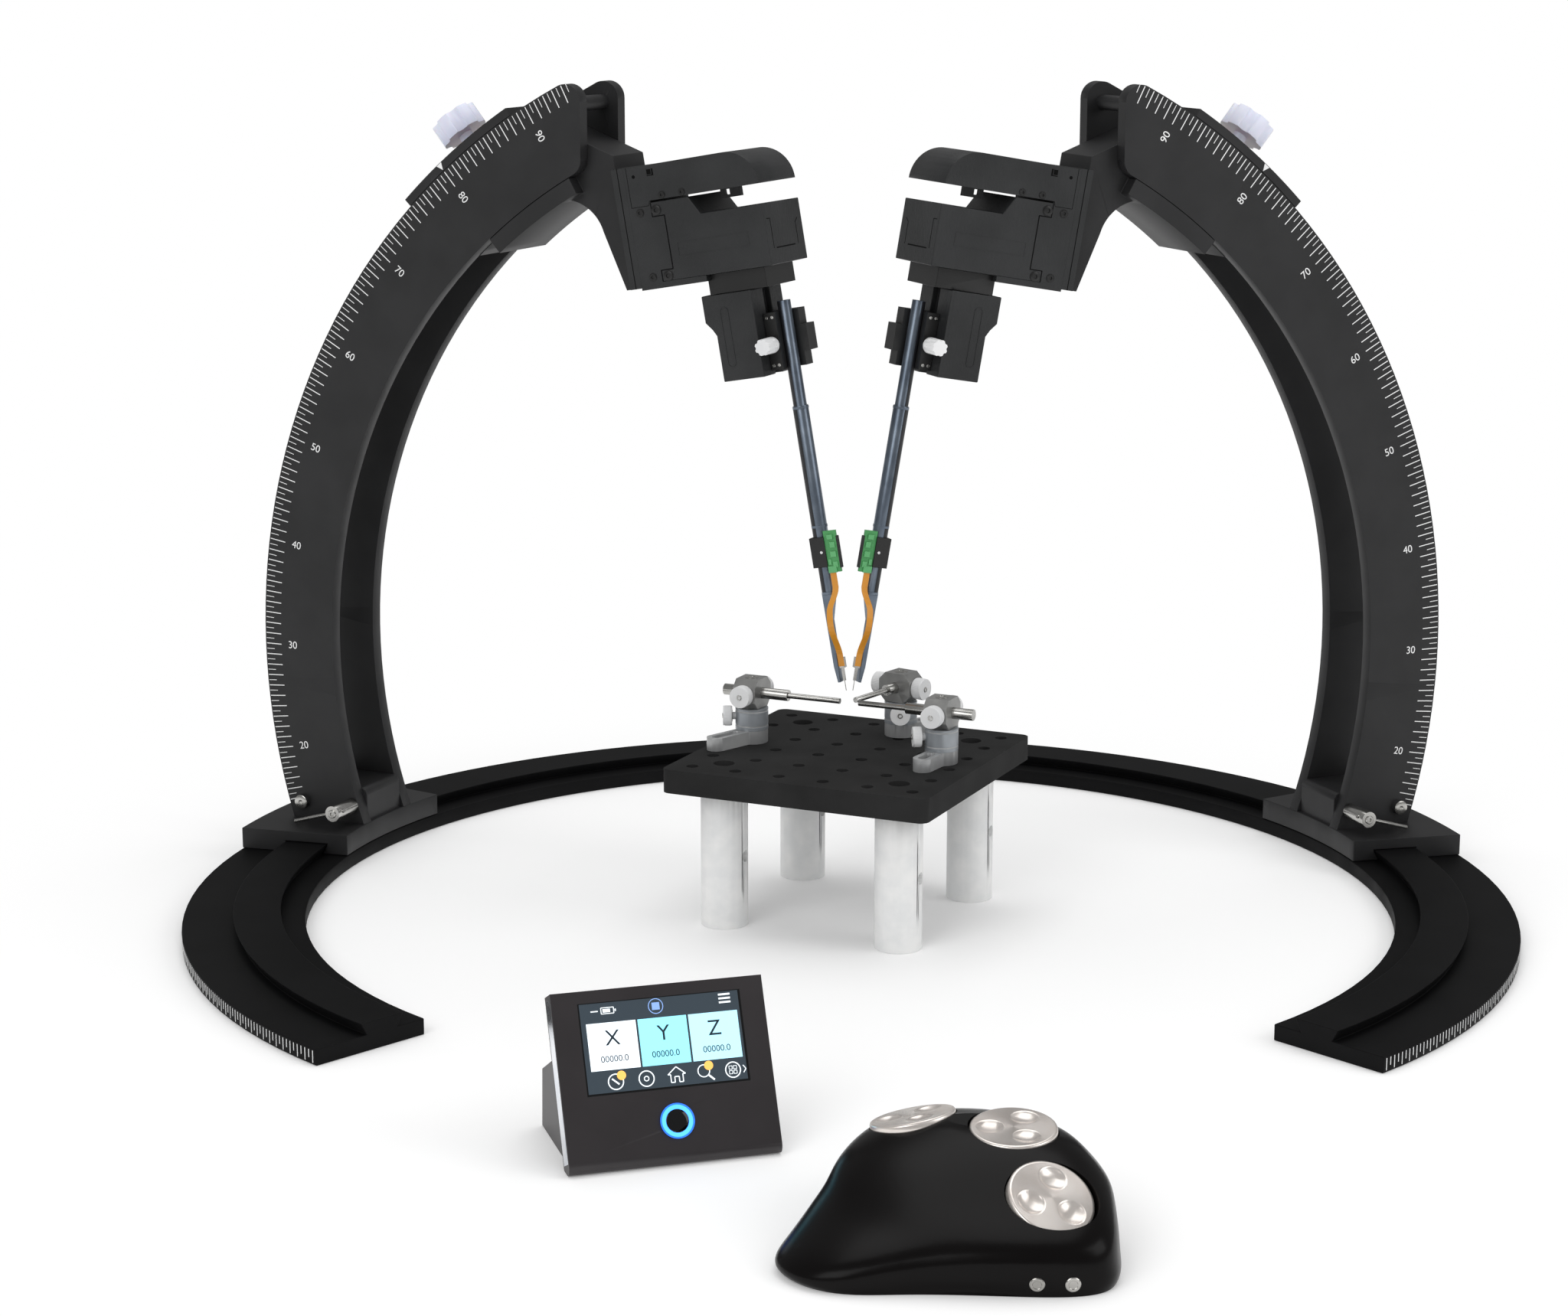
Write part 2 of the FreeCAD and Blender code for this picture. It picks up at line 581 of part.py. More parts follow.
def make_probe_clamp():
    face = "lower_inner - slide_gap"
    clear = "rod_u + rod_radius + flat_gap"
    back = "-(rod_radius + flat_gap)"

    def section(reach, rear):
        return [
            (face, "-" + rear), (face, "clamp_front"), ("lip_u", "clamp_front"), ("lip_u", "lip_v"),
            (clear, "lip_v"), (clear, back), ("-" + reach, back), ("-" + reach, "-" + rear),
        ]

    tongue = box(face + " - 1", "-(groove_half - flat_gap)", "lower_inner + groove_deep - flat_gap",
                 "groove_half - flat_gap")
    clamp = Piece("left_probe_clamp", HEAD)
    clamp.add([section("clamp_reach", "clamp_back")], "clamp_low", "clamp_high", plane="XY")
    clamp.add([section("tier_reach", "tier_back")], "tier_low", "tier_high", plane="XY")
    clamp.add([tongue], "clamp_low", "clamp_high", plane="XY")
    clamp.cut([("circle", "knob_u", "knob_w", "knob_stem + running_fit")], "lip_v + 0.3", "clamp_front + 1")
    return clamp.keep()


def make_clamp_knob():
    knob = Piece("left_clamp_knob", HEAD)
    knob.add([("circle", "knob_u", "knob_w", "knob_radius")], "knob_start", "knob_end")
    knob.cut(lobes("knob_u", "knob_w", "knob_radius", "1.3", 8), "knob_start + 3", "knob_end")
    knob.add([("circle", "knob_u", "knob_w", "knob_stem")], "lip_v + 0.6", "knob_start + 1")
    return knob.keep()


def make_rod():
    rod = Piece("left_rod", ROD)
    rod.add([("circle", 0, 0, "rod_radius")], "sleeve_top - 1", "rod_top", plane="XY")
    rod.add([("circle", 0, 0, "sleeve_radius")], "sleeve_low", "sleeve_top", plane="XY")
    spoon = [
        ("sleeve_radius - 0.3", "sleeve_low + 1"), ("1 - sleeve_radius", "sleeve_low + 1"),
        ("spoon_left", "sleeve_low - 14"), ("spoon_left", "spoon_low"), (1.3, "tip_low"), (2.5, "tip_low"),
        (3.5, "spoon_low"),
    ]
    rod.across([spoon], "spoon_depth")
    return rod.keep()


def make_probe_clip():
    clip = Piece("left_probe_clip", ROD)
    outline = box("clip_left", "-sleeve_radius - 1.1", "sleeve_radius + 0.8", "sleeve_radius + 1.1")
    shelf = box("-board_left - rod_u - 0.4", "board_v - 1.5", "clip_left + 0.1", "board_v")
    clip.add([outline], "clip_low", "clip_high", plane="XY")
    clip.add([shelf], "clip_low", "clip_high", plane="XY")
    clip.cut([("circle", 0, 0, "sleeve_radius")], "clip_low - 1", "clip_high + 1", plane="XY")
    return clip.keep()


def ribbon_path(along):
    """The ribbon's distance to the front at a share of its way down: straight, one forward fold, then in."""
    top = size("board_v + board_thick + ribbon_thick / 2")
    low = size("base_half + ribbon_thick / 2")
    fall = min(max((along - 0.3) / 0.6, 0), 1)
    slope = fall * fall * (3 - 2 * fall)
    fold = size("ribbon_bump") * math.sin(math.pi * fall) ** 2
    return top + (low - top) * slope + fold


def ribbon_shift(along):
    """The ribbon's distance to the side at a share of its way down: under the board first, then over the rod."""
    fall = min(max((along - 0.2) / 0.24, 0), 1)
    return size("ribbon_drift") * (1 - fall * fall * (3 - 2 * fall))


def ribbon_part(corners, depth):
    """A prism of a closed outline, as a shape."""
    return Part.Face(Part.makePolygon(corners + corners[:1])).extrude(depth)


def make_probe_flex():
    board = Piece("left_board", ROD)
    outline = box("-board_left - rod_u", "board_v", "clip_left", "board_v + board_thick")
    board.add([outline], "board_low", "board_high", plane="XY")
    top = size("board_low + 3")
    low = size("base_low + 1")
    half = size("ribbon_thick") / 2
    width = size("ribbon_width")
    inner = size("probe_u - rod_u - ribbon_width / 2 - 0.4")
    far = inner - size("ribbon_drift") - 1
    centres = []
    for step in range(25):
        along = step / 24
        centres.append((inner - ribbon_shift(along), ribbon_path(along), top + (low - top) * along))
    front = [Vector(far, y + half, z) for x, y, z in centres]
    back = [Vector(far, y - half, z) for x, y, z in reversed(centres)]
    sheet = ribbon_part(front + back, Vector(size("ribbon_drift") + width + 2, 0, 0))
    x, y, z = centres[0]
    ends = [(x, y, z + 1)]
    x, y, z = centres[-1]
    edge = ends + centres[1:-1] + [(x, y, z - 1)]
    near_edge = [Vector(x, -20, z) for x, y, z in edge]
    far_edge = [Vector(x + width, -20, z) for x, y, z in reversed(edge)]
    strip = sheet.common(ribbon_part(near_edge + far_edge, Vector(0, 40, 0)))
    ribbon = DOCUMENT.addObject("Part::Feature", "left_ribbon")
    ribbon.Shape = strip
    ribbon.setExpression("Placement", bound(ROD))
    flex = DOCUMENT.addObject("Part::Compound", "left_probe_flex")
    flex.Label = "left_probe_flex"
    flex.Links = [board.body, ribbon]
    NODES["left_probe_flex"] = flex
    return flex


def make_probe():
    probe = Piece("left_probe", ROD)
    centre = "(probe_u - rod_u)"
    base = box(centre + " - 1.8", "-base_half", "spoon_left", "base_half")
    probe.add([base], "base_low", "base_high", plane="XY")
    probe.add([box(centre + " - 0.7", "-0.6", centre + " + 0.7", "0.6")], "shank_low", "base_low + 1", plane="XY")
    probe.add([("circle", centre, 0, "needle_radius")], "needle_low", "shank_low + 1", plane="XY")
    return probe.keep()


def make_arm():
    """The left arm's sub-parts, and the right arm as their mirror images."""
    makers = [
        make_shoe, make_arc, make_clamp_lever, make_saddle, make_star_knob, make_bracket, make_adapter_plate,
        make_head_base, make_head_block, make_cross_slide, make_lower_head, make_probe_clamp, make_clamp_knob,
        make_rod, make_probe_clip, make_probe_flex, make_probe,
    ]
    for maker in makers:
        left = maker()
        label = left.Label.replace("left_", "right_")
        right = DOCUMENT.addObject("Part::Mirroring", label)
        right.Label = label
        right.Source = left
        right.Normal = Vector(1, 0, 0)
        NODES[label] = right


def make_breadboard():
    half = "board_size / 2"
    board = Piece("breadboard", STAGE)
    board.add([box("-" + half, "-" + half, half, half)], "post_height", BOARD_TOP, plane="XY")
    board.round("corner_round", lambda middle, run: abs(run.z) > 0.99)
    places = [-2.5, -1.5, -0.5, 0.5, 1.5, 2.5]
    grid = [("circle", "%s * grid_pitch" % x, "%s * grid_pitch" % y, "grid_hole") for x in places for y in places]
    corners = [(x, y) for x in (-1, 1) for y in (-1, 1)]
    posts = [("circle", "%d * post_spacing / 2" % x, "%d * post_spacing / 2" % y) for x, y in corners]
    board.cut(grid, "post_height", BOARD_TOP, plane="XY")
    board.cut([post + ("grid_hole",) for post in posts], "post_height", BOARD_TOP, plane="XY")
    board.cut([post + ("counterbore",) for post in posts], BOARD_TOP + " - counterbore_deep", BOARD_TOP, plane="XY")
    board.keep()


def make_stage_posts():
    corners = [(x, y) for x in (-1, 1) for y in (-1, 1)]
    posts = Piece("stage_posts", STAGE)
    circles = [("circle", "%d * post_spacing / 2" % x, "%d * post_spacing / 2" % y, "post_radius") for x, y in corners]
    posts.add(circles, 0, "post_height", plane="XY")
    holes = [("circle", "%d * post_spacing / 2" % y, "cross_hole_z", "cross_hole") for y in (-1, 1)]
    posts.cut(holes, "-post_spacing", "post_spacing", plane="YZ")
    posts.keep()


def slotted_foot(side, clamp):
    """One slotted foot with its collar, in the bar clamp's frame turned to the foot's direction."""
    place = bar_clamp_frame(clamp) + " * " + frame((0, 0, 0), (0, 0, 1), clamp["foot"])
    reach = clamp["foot_reach"]
    foot = Piece("foot_" + side, place)
    foot.add([("circle", 0, 0, "collar_radius")], 0, "collar_top", plane="XY")
    foot.add([box(0, "-foot_half", reach, "foot_half")], 0, "foot_thick", plane="XY")
    foot.add([("circle", reach, 0, "foot_half")], 0, "foot_thick", plane="XY")
    foot.cut([box("slot_start", "-slot_half", reach, "slot_half")], 0, "foot_thick", plane="XY")
    for end in ("slot_start", reach):
        foot.cut([("circle", end, 0, "slot_half")], 0, "foot_thick", plane="XY")
    foot.cut([("circle", 0, 0, "spindle_radius + running_fit")], "foot_thick + 2", "collar_top", plane="XY")
    bore = Piece("bore_" + side, bar_clamp_frame(clamp) + " * " + frame((0, 0, 0), (0, 0, 1), clamp["knob"]))
    bore.add([("circle", 0, "collar_knob_z", "wheel_stem + running_fit")], 3, "collar_radius + 1", plane="YZ")
    return boolean("Cut", "slotted_foot_" + side, foot.body, bore.body)


def make_clamp_feet():
    feet = DOCUMENT.addObject("Part::Compound", "clamp_feet")
    feet.Label = "clamp_feet"
    feet.Links = [slotted_foot(side, clamp) for side, clamp in BAR_CLAMPS.items()]
    NODES["clamp_feet"] = feet


def make_clamp_head(side, clamp):
    outline = [
        ("-block_half_y", "clamp_axis - block_half_z + block_chamfer"),
        ("block_chamfer - block_half_y", "clamp_axis - block_half_z"),
        ("block_half_y - block_chamfer", "clamp_axis - block_half_z"),
        ("block_half_y", "clamp_axis - block_half_z + block_chamfer"),
        ("block_half_y", "clamp_axis + block_half_z - block_chamfer"),
        ("block_half_y - block_chamfer", "clamp_axis + block_half_z"),
        ("block_chamfer - block_half_y", "clamp_axis + block_half_z"),
        ("-block_half_y", "clamp_axis + block_half_z - block_chamfer"),
    ]
    head = Piece("clamp_%s_head" % side, bar_clamp_frame(clamp))
    head.add([outline], "-block_half_x", "block_half_x", plane="YZ")
    head.add([("circle", 0, 0, "spindle_radius")], "foot_thick + 2.5", "collar_top + 1", plane="XY")
    head.add([("circle", 0, 0, "block_half_x")], "collar_top + slide_gap", "clamp_axis - block_half_z + 1", plane="XY")
    rod_bore = ("circle", 0, "clamp_axis", "clamp_rod + running_fit")
    head.cut([rod_bore], "-block_half_x - 1", "block_half_x + 1", plane="YZ")
    head.cut([("circle", 0, "clamp_axis", "wheel_stem + running_fit")], "-block_half_y - 1", "block_half_y + 1")
    head.keep()


def make_clamp_bar(side, clamp):
    bar = Piece("clamp_%s_bar" % side, bar_clamp_frame(clamp))
    tip = clamp["reach"] - ROD_TIP_GAP
    bar.add([("circle", 0, "clamp_axis", "clamp_rod")], -clamp["tail"], clamp["nose"], plane="YZ")
    bar.add([("circle", 0, "clamp_axis", "clamp_pin")], clamp["nose"] - 1, tip, plane="YZ")
    bar.keep()


def make_clamp_knobs(side, clamp):
    """The two clamping knobs of the block, and the knurled one on the collar."""
    face = "block_half_y + slide_gap"
    for name, turn in (("knob_a", 0), ("knob_b", 180)):
        place = bar_clamp_frame(clamp) + " * " + frame((0, 0, 0), (0, 0, 1), turn)
        knob = Piece("clamp_%s_%s" % (side, name), place)
        knob.add([("circle", 0, "clamp_axis", "wheel_radius")], face, face + " + wheel_thick")
        knob.add([("circle", 0, "clamp_axis", "wheel_stem")], "clamp_rod + 0.4", face + " + 1")
        knob.keep()
    place = bar_clamp_frame(clamp) + " * " + frame((0, 0, 0), (0, 0, 1), clamp["knob"])
    collar_knob = Piece("clamp_%s_collar_knob" % side, place)
    start = "collar_radius + 2"
    disc = ("circle", 0, "collar_knob_z", "wheel_radius - 0.4")
    collar_knob.add([disc], start, start + " + wheel_thick - 1", plane="YZ")
    collar_knob.add([("circle", 0, "collar_knob_z", "wheel_stem")], "spindle_radius + 0.4", start + " + 1", plane="YZ")
    collar_knob.keep()


def make_bar_clamps():
    make_clamp_feet()
    for side, clamp in BAR_CLAMPS.items():
        make_clamp_head(side, clamp)
        make_clamp_bar(side, clamp)
        make_clamp_knobs(side, clamp)


def make_touch_unit():
    foot = "(panel_thick / cos(panel_lean))"
    top = ("panel_height * sin(panel_lean)", "panel_height * cos(panel_lean)")
    slab = [
        (0, 0),
        (foot, 0),
        (top[0] + " + panel_thick * cos(panel_lean)", top[1] + " - panel_thick * sin(panel_lean)"),
        top,
    ]
    stand = [(foot + " - 1", 0), ("stand_deep", 0), ("stand_deep - 2", 27), (30, 46), (foot + " + 5", 20)]
    shell = Piece("touch_body", TOUCH)
    shell.add([slab], "-panel_width / 2", "panel_width / 2", plane="YZ")
    shell.round("lip_round", lambda middle, run: abs(run.x) > 0.99 and middle.Length < 0.1)
    shell.add([stand], "-stand_width / 2", "stand_width / 2", plane="YZ")
    recess = Piece("touch_recess", PANEL)
    window = box("screen_x - screen_width / 2", "screen_low", "screen_x + screen_width / 2", "screen_low + screen_height")
    recess.add([window], "-1", "screen_deep")
    recess.add([("circle", "button_x", "button_z", "button_radius + screen_gap")], "-1", "button_deep")
    NODES["touch_shell"] = boolean("Cut", "touch_shell", shell.body, recess.body)
    screen = Piece("touch_screen", PANEL)
    glass = box("screen_x + screen_gap - screen_width / 2", "screen_low + screen_gap",
                "screen_x - screen_gap + screen_width / 2", "screen_low + screen_height - screen_gap")
    screen.add([glass], "0.3", "screen_deep").keep()
    button = Piece("touch_button", PANEL)
    button.add([("circle", "button_x", "button_z", "button_radius")], "-0.4", "button_deep - 1.2").keep()


def shell_curve(height, across, along):
    """One level curve of the shell, through its points."""
    width, depth, tall = (size(name) / drawn for name, drawn in zip(SHELL_SIZES, DRAWN_SHELL))
    points = [Vector(x * width, y * depth, height * tall) for x, y in zip(across, along)]
    curve = Part.BSplineCurve()
    curve.interpolate(points, PeriodicFlag=True)
    return Part.Wire(curve.toShape())


def make_dial_unit():
    hump = DOCUMENT.addObject("Part::Feature", "dial_hump")
    hump.Shape = Part.makeLoft([shell_curve(*curve) for curve in SHELL_CURVES], True, False)
    hump.setExpression("Placement", bound(DIAL_UNIT))
    shell = hump
    for name, dial in DIALS.items():
        seat = Piece("seat_" + name, dial_frame(dial))
        seat.add([("circle", 0, 0, "dial_radius + dial_seat_gap")], "-dial_sink", "dial_headroom", plane="XY")
        seat.add([("circle", 0, 0, "dial_stem + running_fit")], "-dial_sink - 8", "1 - dial_sink", plane="XY")
        shell = boolean("Cut", "shell_less_" + name, shell, seat.body)
        make_dial(name, dial)
    shell.Label = "dial_shell"
    NODES["dial_shell"] = shell


def make_dial(name, dial):
    disc = Piece("dial_" + name, dial_frame(dial))
    low = "slide_gap - dial_sink"
    disc.add([("circle", 0, 0, "dial_radius")], low, low + " + dial_thick", plane="XY")
    disc.add([("circle", 0, 0, "dial_stem")], "-dial_sink - 7", low + " + 1", plane="XY")
    dimples = []
    for turn in (30, 150, 270):
        dimples.append(("circle", "dimple_place * cos(%d)" % turn, "dimple_place * sin(%d)" % turn, "dimple_radius"))
    top = low + " + dial_thick"
    disc.cut(dimples, top + " - dimple_deep", top, plane="XY")
    disc.keep()


def check_model():
    for thing in DOCUMENT.Objects:
        if "Invalid" in thing.State or "Error" in thing.State:
            raise RuntimeError("%s failed: %s" % (thing.Label, thing.State))
    for label, node in NODES.items():
        if node.Shape.isNull() or not node.Shape.isValid() or not node.Shape.Solids:
            raise RuntimeError("%s has no valid solid" % label)


def write_parts():
    os.makedirs("parts", exist_ok=True)
    for label, node in NODES.items():
        node.Shape.exportStep("parts/%s.step" % label)


fill_sheet()
make_ring_rail()
make_arm()
make_breadboard()
make_stage_posts()
make_bar_clamps()
make_touch_unit()
make_dial_unit()
DOCUMENT.recompute()
check_model()
write_parts()
print("%d sub-parts" % len(NODES))
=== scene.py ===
# %% [markdown]
# # A micromanipulator rig
# Two black arc arms stand on an open ring rail and hold thin probes over a pillar stage.
# A touch unit and a dial unit lie in front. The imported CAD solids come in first, as a fixed frame:
# everything made here is placed in the same metres and rides on the body that carries it.

import json
import math

import bpy
from mathutils import Matrix, Vector


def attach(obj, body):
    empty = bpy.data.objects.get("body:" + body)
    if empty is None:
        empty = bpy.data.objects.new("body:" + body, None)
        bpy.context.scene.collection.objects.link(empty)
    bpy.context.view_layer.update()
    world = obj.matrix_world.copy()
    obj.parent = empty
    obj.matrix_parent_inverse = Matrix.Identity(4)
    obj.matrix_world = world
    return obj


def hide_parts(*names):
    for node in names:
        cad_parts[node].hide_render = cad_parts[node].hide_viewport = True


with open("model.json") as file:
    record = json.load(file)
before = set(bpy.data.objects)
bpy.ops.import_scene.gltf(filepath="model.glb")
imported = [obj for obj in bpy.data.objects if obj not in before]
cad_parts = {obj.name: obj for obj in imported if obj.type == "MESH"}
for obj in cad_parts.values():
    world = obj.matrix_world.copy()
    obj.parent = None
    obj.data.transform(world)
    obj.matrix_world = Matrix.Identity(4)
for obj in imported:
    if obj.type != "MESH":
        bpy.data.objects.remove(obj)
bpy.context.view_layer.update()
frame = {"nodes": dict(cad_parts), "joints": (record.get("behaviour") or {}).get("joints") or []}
nodes = frame["nodes"]
MM = 0.001
print("CAD nodes:", len(nodes))

# %% [markdown]
# ## The camera
# The photograph was measured against the 25 mm grid of the stage: a long lens, a little above the arms,
# looking down by 12.6 degrees. The camera comes first.

# %% The camera
SENSOR_WIDTH = 36
FOCAL_LENGTH = 74.28
CAMERA_PLACE = (0, -1.6755, 0.5136)
LOOKING_DOWN = 0.22
LOOKING_LEFT = 0.0208
camera_data = bpy.data.cameras.new("bench_camera")
camera_data.sensor_width = SENSOR_WIDTH
camera_data.lens = FOCAL_LENGTH
camera = bpy.data.objects.new("bench_camera", camera_data)
camera.location = CAMERA_PLACE
camera.rotation_euler = (math.pi / 2 - LOOKING_DOWN, 0, LOOKING_LEFT)
bpy.context.collection.objects.link(camera)
bpy.context.scene.camera = camera

# %% [markdown]
# ## Placing things
# The left arm is drawn in its own upright plane, with x outward to its foot and y to the front.
# The right arm is its mirror image, so one matrix per side places every piece of both arms.
# The head has a second frame, tilted with the probe, with its origin at the target point. The touch
# unit has one on the bench and one in its leaning front. Pieces are measured in millimetres.

# %% Frames of the arms
def moved(x, y, z):
    return Matrix.Translation((x, y, z))


def turned(degrees, axis):
    return Matrix.Rotation(math.radians(degrees), 4, axis)


SIDES = ("left", "right")
TARGET_HEIGHT = 122
ARM_BEARING = 156.38
PROBE_TILT = 10
TOUCH_TURN = 18.1
PANEL_LEAN = 26
MIRRORED = Matrix.Scale(-1, 4, (1, 0, 0))
ARM = {"left": turned(ARM_BEARING, "Z")}
ARM["right"] = MIRRORED @ ARM["left"]
HEAD = {side: ARM[side] @ moved(0, 0, TARGET_HEIGHT) @ turned(PROBE_TILT, "Y") for side in SIDES}
TOUCH = moved(-72, -378.2, 0) @ turned(TOUCH_TURN, "Z")
PANEL = TOUCH @ turned(-PANEL_LEAN, "X")

# %% [markdown]
# ## Making a mesh
# Small fittings are turned on a lathe or cut from a plate, and so are their meshes here: a profile is
# spun or an outline is given a thickness. Parts that belong together become one piece.

# %% Turned and cut shapes
SHARP_ANGLE = 35


def spun(profile, count=48):
    """A closed turned part from (radius, height) pairs, first and last on the axis."""
    points, faces, rows = [], [], []
    for radius, height in profile:
        if radius == 0:
            rows.append([len(points)] * count)
            points.append((0, 0, height))
            continue
        rows.append([len(points) + step for step in range(count)])
        for step in range(count):
            angle = 2 * math.pi * step / count
            points.append((radius * math.cos(angle), radius * math.sin(angle), height))
    for low, high in zip(rows, rows[1:]):
        for step in range(count):
            ahead = (step + 1) % count
            corners = [low[step], low[ahead], high[ahead], high[step]]
            faces.append(list(dict.fromkeys(corners)))
    return points, faces


def cut(outline, low, high):
    """A plate with this outline, from low to high along z."""
    count = len(outline)
    points = [(x, y, z) for z in (low, high) for x, y in outline]
    ahead = [(step + 1) % count for step in range(count)]
    sides = [[step, ahead[step], count + ahead[step], count + step] for step in range(count)]
    return points, [list(range(count))[::-1], list(range(count, 2 * count))] + sides


def slab(x1, y1, z1, x2, y2, z2):
    return cut([(x1, y1), (x2, y1), (x2, y2), (x1, y2)], z1, z2)


def gathered(parts):
    """One shape from (matrix, shape) pairs."""
    points, faces = [], []
    for matrix, (some, polygons) in parts:
        start = len(points)
        points += [tuple(matrix @ Vector(point)) for point in some]
        flip = matrix.determinant() < 0
        faces += [[start + index for index in (face[::-1] if flip else face)] for face in polygons]
    return points, faces


def piece(name, shape, place, body, material):
    """A mesh piece in the row frame, in metres, riding on a body."""
    points, faces = gathered([(place, shape)])
    mesh = bpy.data.meshes.new(name)
    mesh.from_pydata([Vector(point) * MM for point in points], [], faces)
    mesh.shade_smooth()
    mesh.set_sharp_from_angle(angle=math.radians(SHARP_ANGLE))
    made = bpy.data.objects.new(name, mesh)
    bpy.context.collection.objects.link(made)
    mesh.materials.append(material)
    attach(made, body)


# %% [markdown]
# ## Materials
# Each finish starts from what the real surface is. Colours are written as sRGB hex values and turned
# to linear light here. One small function adds a node with its settings and its links.

# %% Colour and nodes
def colour(text):
    parts = [int(text[step:step + 2], 16) / 255 for step in (1, 3, 5)]
    return tuple(c / 12.92 if c <= 0.04045 else ((c + 0.055) / 1.055) ** 2.4 for c in parts) + (1,)


def add(tree, kind, inputs=None, **settings):
    """A node with its settings; an input is a number, a colour or another node's socket."""
    node = tree.nodes.new(kind)
    for name, setting in settings.items():
        setattr(node, name, setting)
    for name, value in (inputs or {}).items():
        if isinstance(value, bpy.types.NodeSocket):
            tree.links.new(value, node.inputs[name])
        else:
            node.inputs[name].default_value = value
    return node


def surface(name, **sockets):
    """A new material with its shader's sockets set, and its tree."""
    material = bpy.data.materials.new(name)
    material.use_nodes = True
    shader = material.node_tree.nodes["Principled BSDF"]
    for socket, value in sockets.items():
        shader.inputs[socket.replace("_", " ")].default_value = value
    return material, material.node_tree, shader


def grained(tree, shader, grain_mm, height_mm, tones, patch_mm=30):
    """Fine surface grain as a bump, and a slow drift between two tones of the colour."""
    place = add(tree, "ShaderNodeTexCoord").outputs["Object"]
    grain = add(tree, "ShaderNodeTexNoise",
                {"Vector": place, "Scale": 1 / (grain_mm * MM), "Detail": 3.0})
    bump = add(tree, "ShaderNodeBump",
               {"Height": grain.outputs["Fac"], "Distance": height_mm * MM, "Strength": 0.6})
    tree.links.new(bump.outputs["Normal"], shader.inputs["Normal"])
    patches = add(tree, "ShaderNodeTexNoise",
                  {"Vector": place, "Scale": 1 / (patch_mm * MM), "Detail": 4.0})
    ramp = add(tree, "ShaderNodeValToRGB", {"Fac": patches.outputs["Fac"]})
    for element, position, tone in zip(ramp.color_ramp.elements, (0.35, 0.65), tones):
        element.position = position
        element.color = colour(tone)
    tree.links.new(ramp.outputs["Color"], shader.inputs["Base Color"])
    return place, grain


# %% [markdown]
# ### Black anodised aluminium
# The arcs, the ring and the brackets are milled, bead blasted and dyed black. The blasting leaves a
# grit of about 0.1 mm, drawn here at 0.5 mm so that it shows, and the oxide is satin rather than glossy.

# %% Black anodised aluminium
def black_anodised(name, tones, roughness, level):
    material, tree, shader = surface(name, Roughness=roughness, Specular_IOR_Level=level)
    grained(tree, shader, 0.5, 0.02, tones)
    return material


anodised_face = black_anodised("black anodised aluminium, blasted", ("#1f1f20", "#262627"), 0.5, 0.35)
anodised_ring = black_anodised("black anodised aluminium, ring rail", ("#0a0a0b", "#0e0e0f"), 0.6, 0.12)
anodised_board = black_anodised("black anodised aluminium, breadboard", ("#252525", "#2c2c2c"), 0.65,
                                0.1)

# %% [markdown]
# ### Wrinkle enamel
# The heads are cast housings in black wrinkle enamel. Its skin has creases about 1 mm apart, like fine
# leather: stretched cells give them, over a softer grain.

# %% Wrinkle enamel
CREASE_MM = 1.3
CREASE_DEEP_MM = 0.09


def wrinkle_enamel(name, tones):
    material, tree, shader = surface(name, Roughness=0.42, Specular_IOR_Level=0.38)
    place, grain = grained(tree, shader, 0.4, 0.02, tones)
    stretched = add(tree, "ShaderNodeMapping", {"Vector": place, "Scale": (1.0, 1.0, 0.45)})
    creases = add(tree, "ShaderNodeTexVoronoi",
                  {"Vector": stretched.outputs["Vector"], "Scale": 1 / (CREASE_MM * MM)},
                  feature="SMOOTH_F1")
    both = add(tree, "ShaderNodeMath", {0: creases.outputs["Distance"], 1: grain.outputs["Fac"]},
               operation="ADD")
    bump = add(tree, "ShaderNodeBump",
               {"Height": both.outputs["Value"], "Distance": CREASE_DEEP_MM * MM, "Strength": 0.75})
    tree.links.new(bump.outputs["Normal"], shader.inputs["Normal"])
    return material


enamel = wrinkle_enamel("black wrinkle enamel on cast housing", ("#202122", "#292a2b"))
enamel_smooth = black_anodised("black enamel, smooth edge strip", ("#161616", "#1c1c1c"), 0.35, 0.4)

# %% [markdown]
# ### Bare metals
# The posts are stainless bar, turned: fine rings round the axis, 0.4 mm apart here. Pins, levers and
# clamp rods are the same steel with a finer finish. The clamps' castings are grey anodised aluminium.

# %% Bare metals
def bare_metal(name, tones, roughness, grain_mm=0.6, height_mm=0.004, along=(1.0, 1.0, 1.0), metal=1.0):
    """A metal with lines drawn in it: along scales the grain, so that a small number stretches it."""
    material, tree, shader = surface(name, Metallic=metal, Roughness=roughness)
    place, grain = grained(tree, shader, grain_mm, height_mm, tones, patch_mm=12)
    drawn = add(tree, "ShaderNodeMapping", {"Vector": place, "Scale": along})
    lines = add(tree, "ShaderNodeTexNoise",
                {"Vector": drawn.outputs["Vector"], "Scale": 1 / (grain_mm * MM), "Detail": 2.0})
    bump = add(tree, "ShaderNodeBump",
               {"Height": lines.outputs["Fac"], "Distance": height_mm * MM, "Strength": 0.5})
    tree.links.new(bump.outputs["Normal"], shader.inputs["Normal"])
    return material


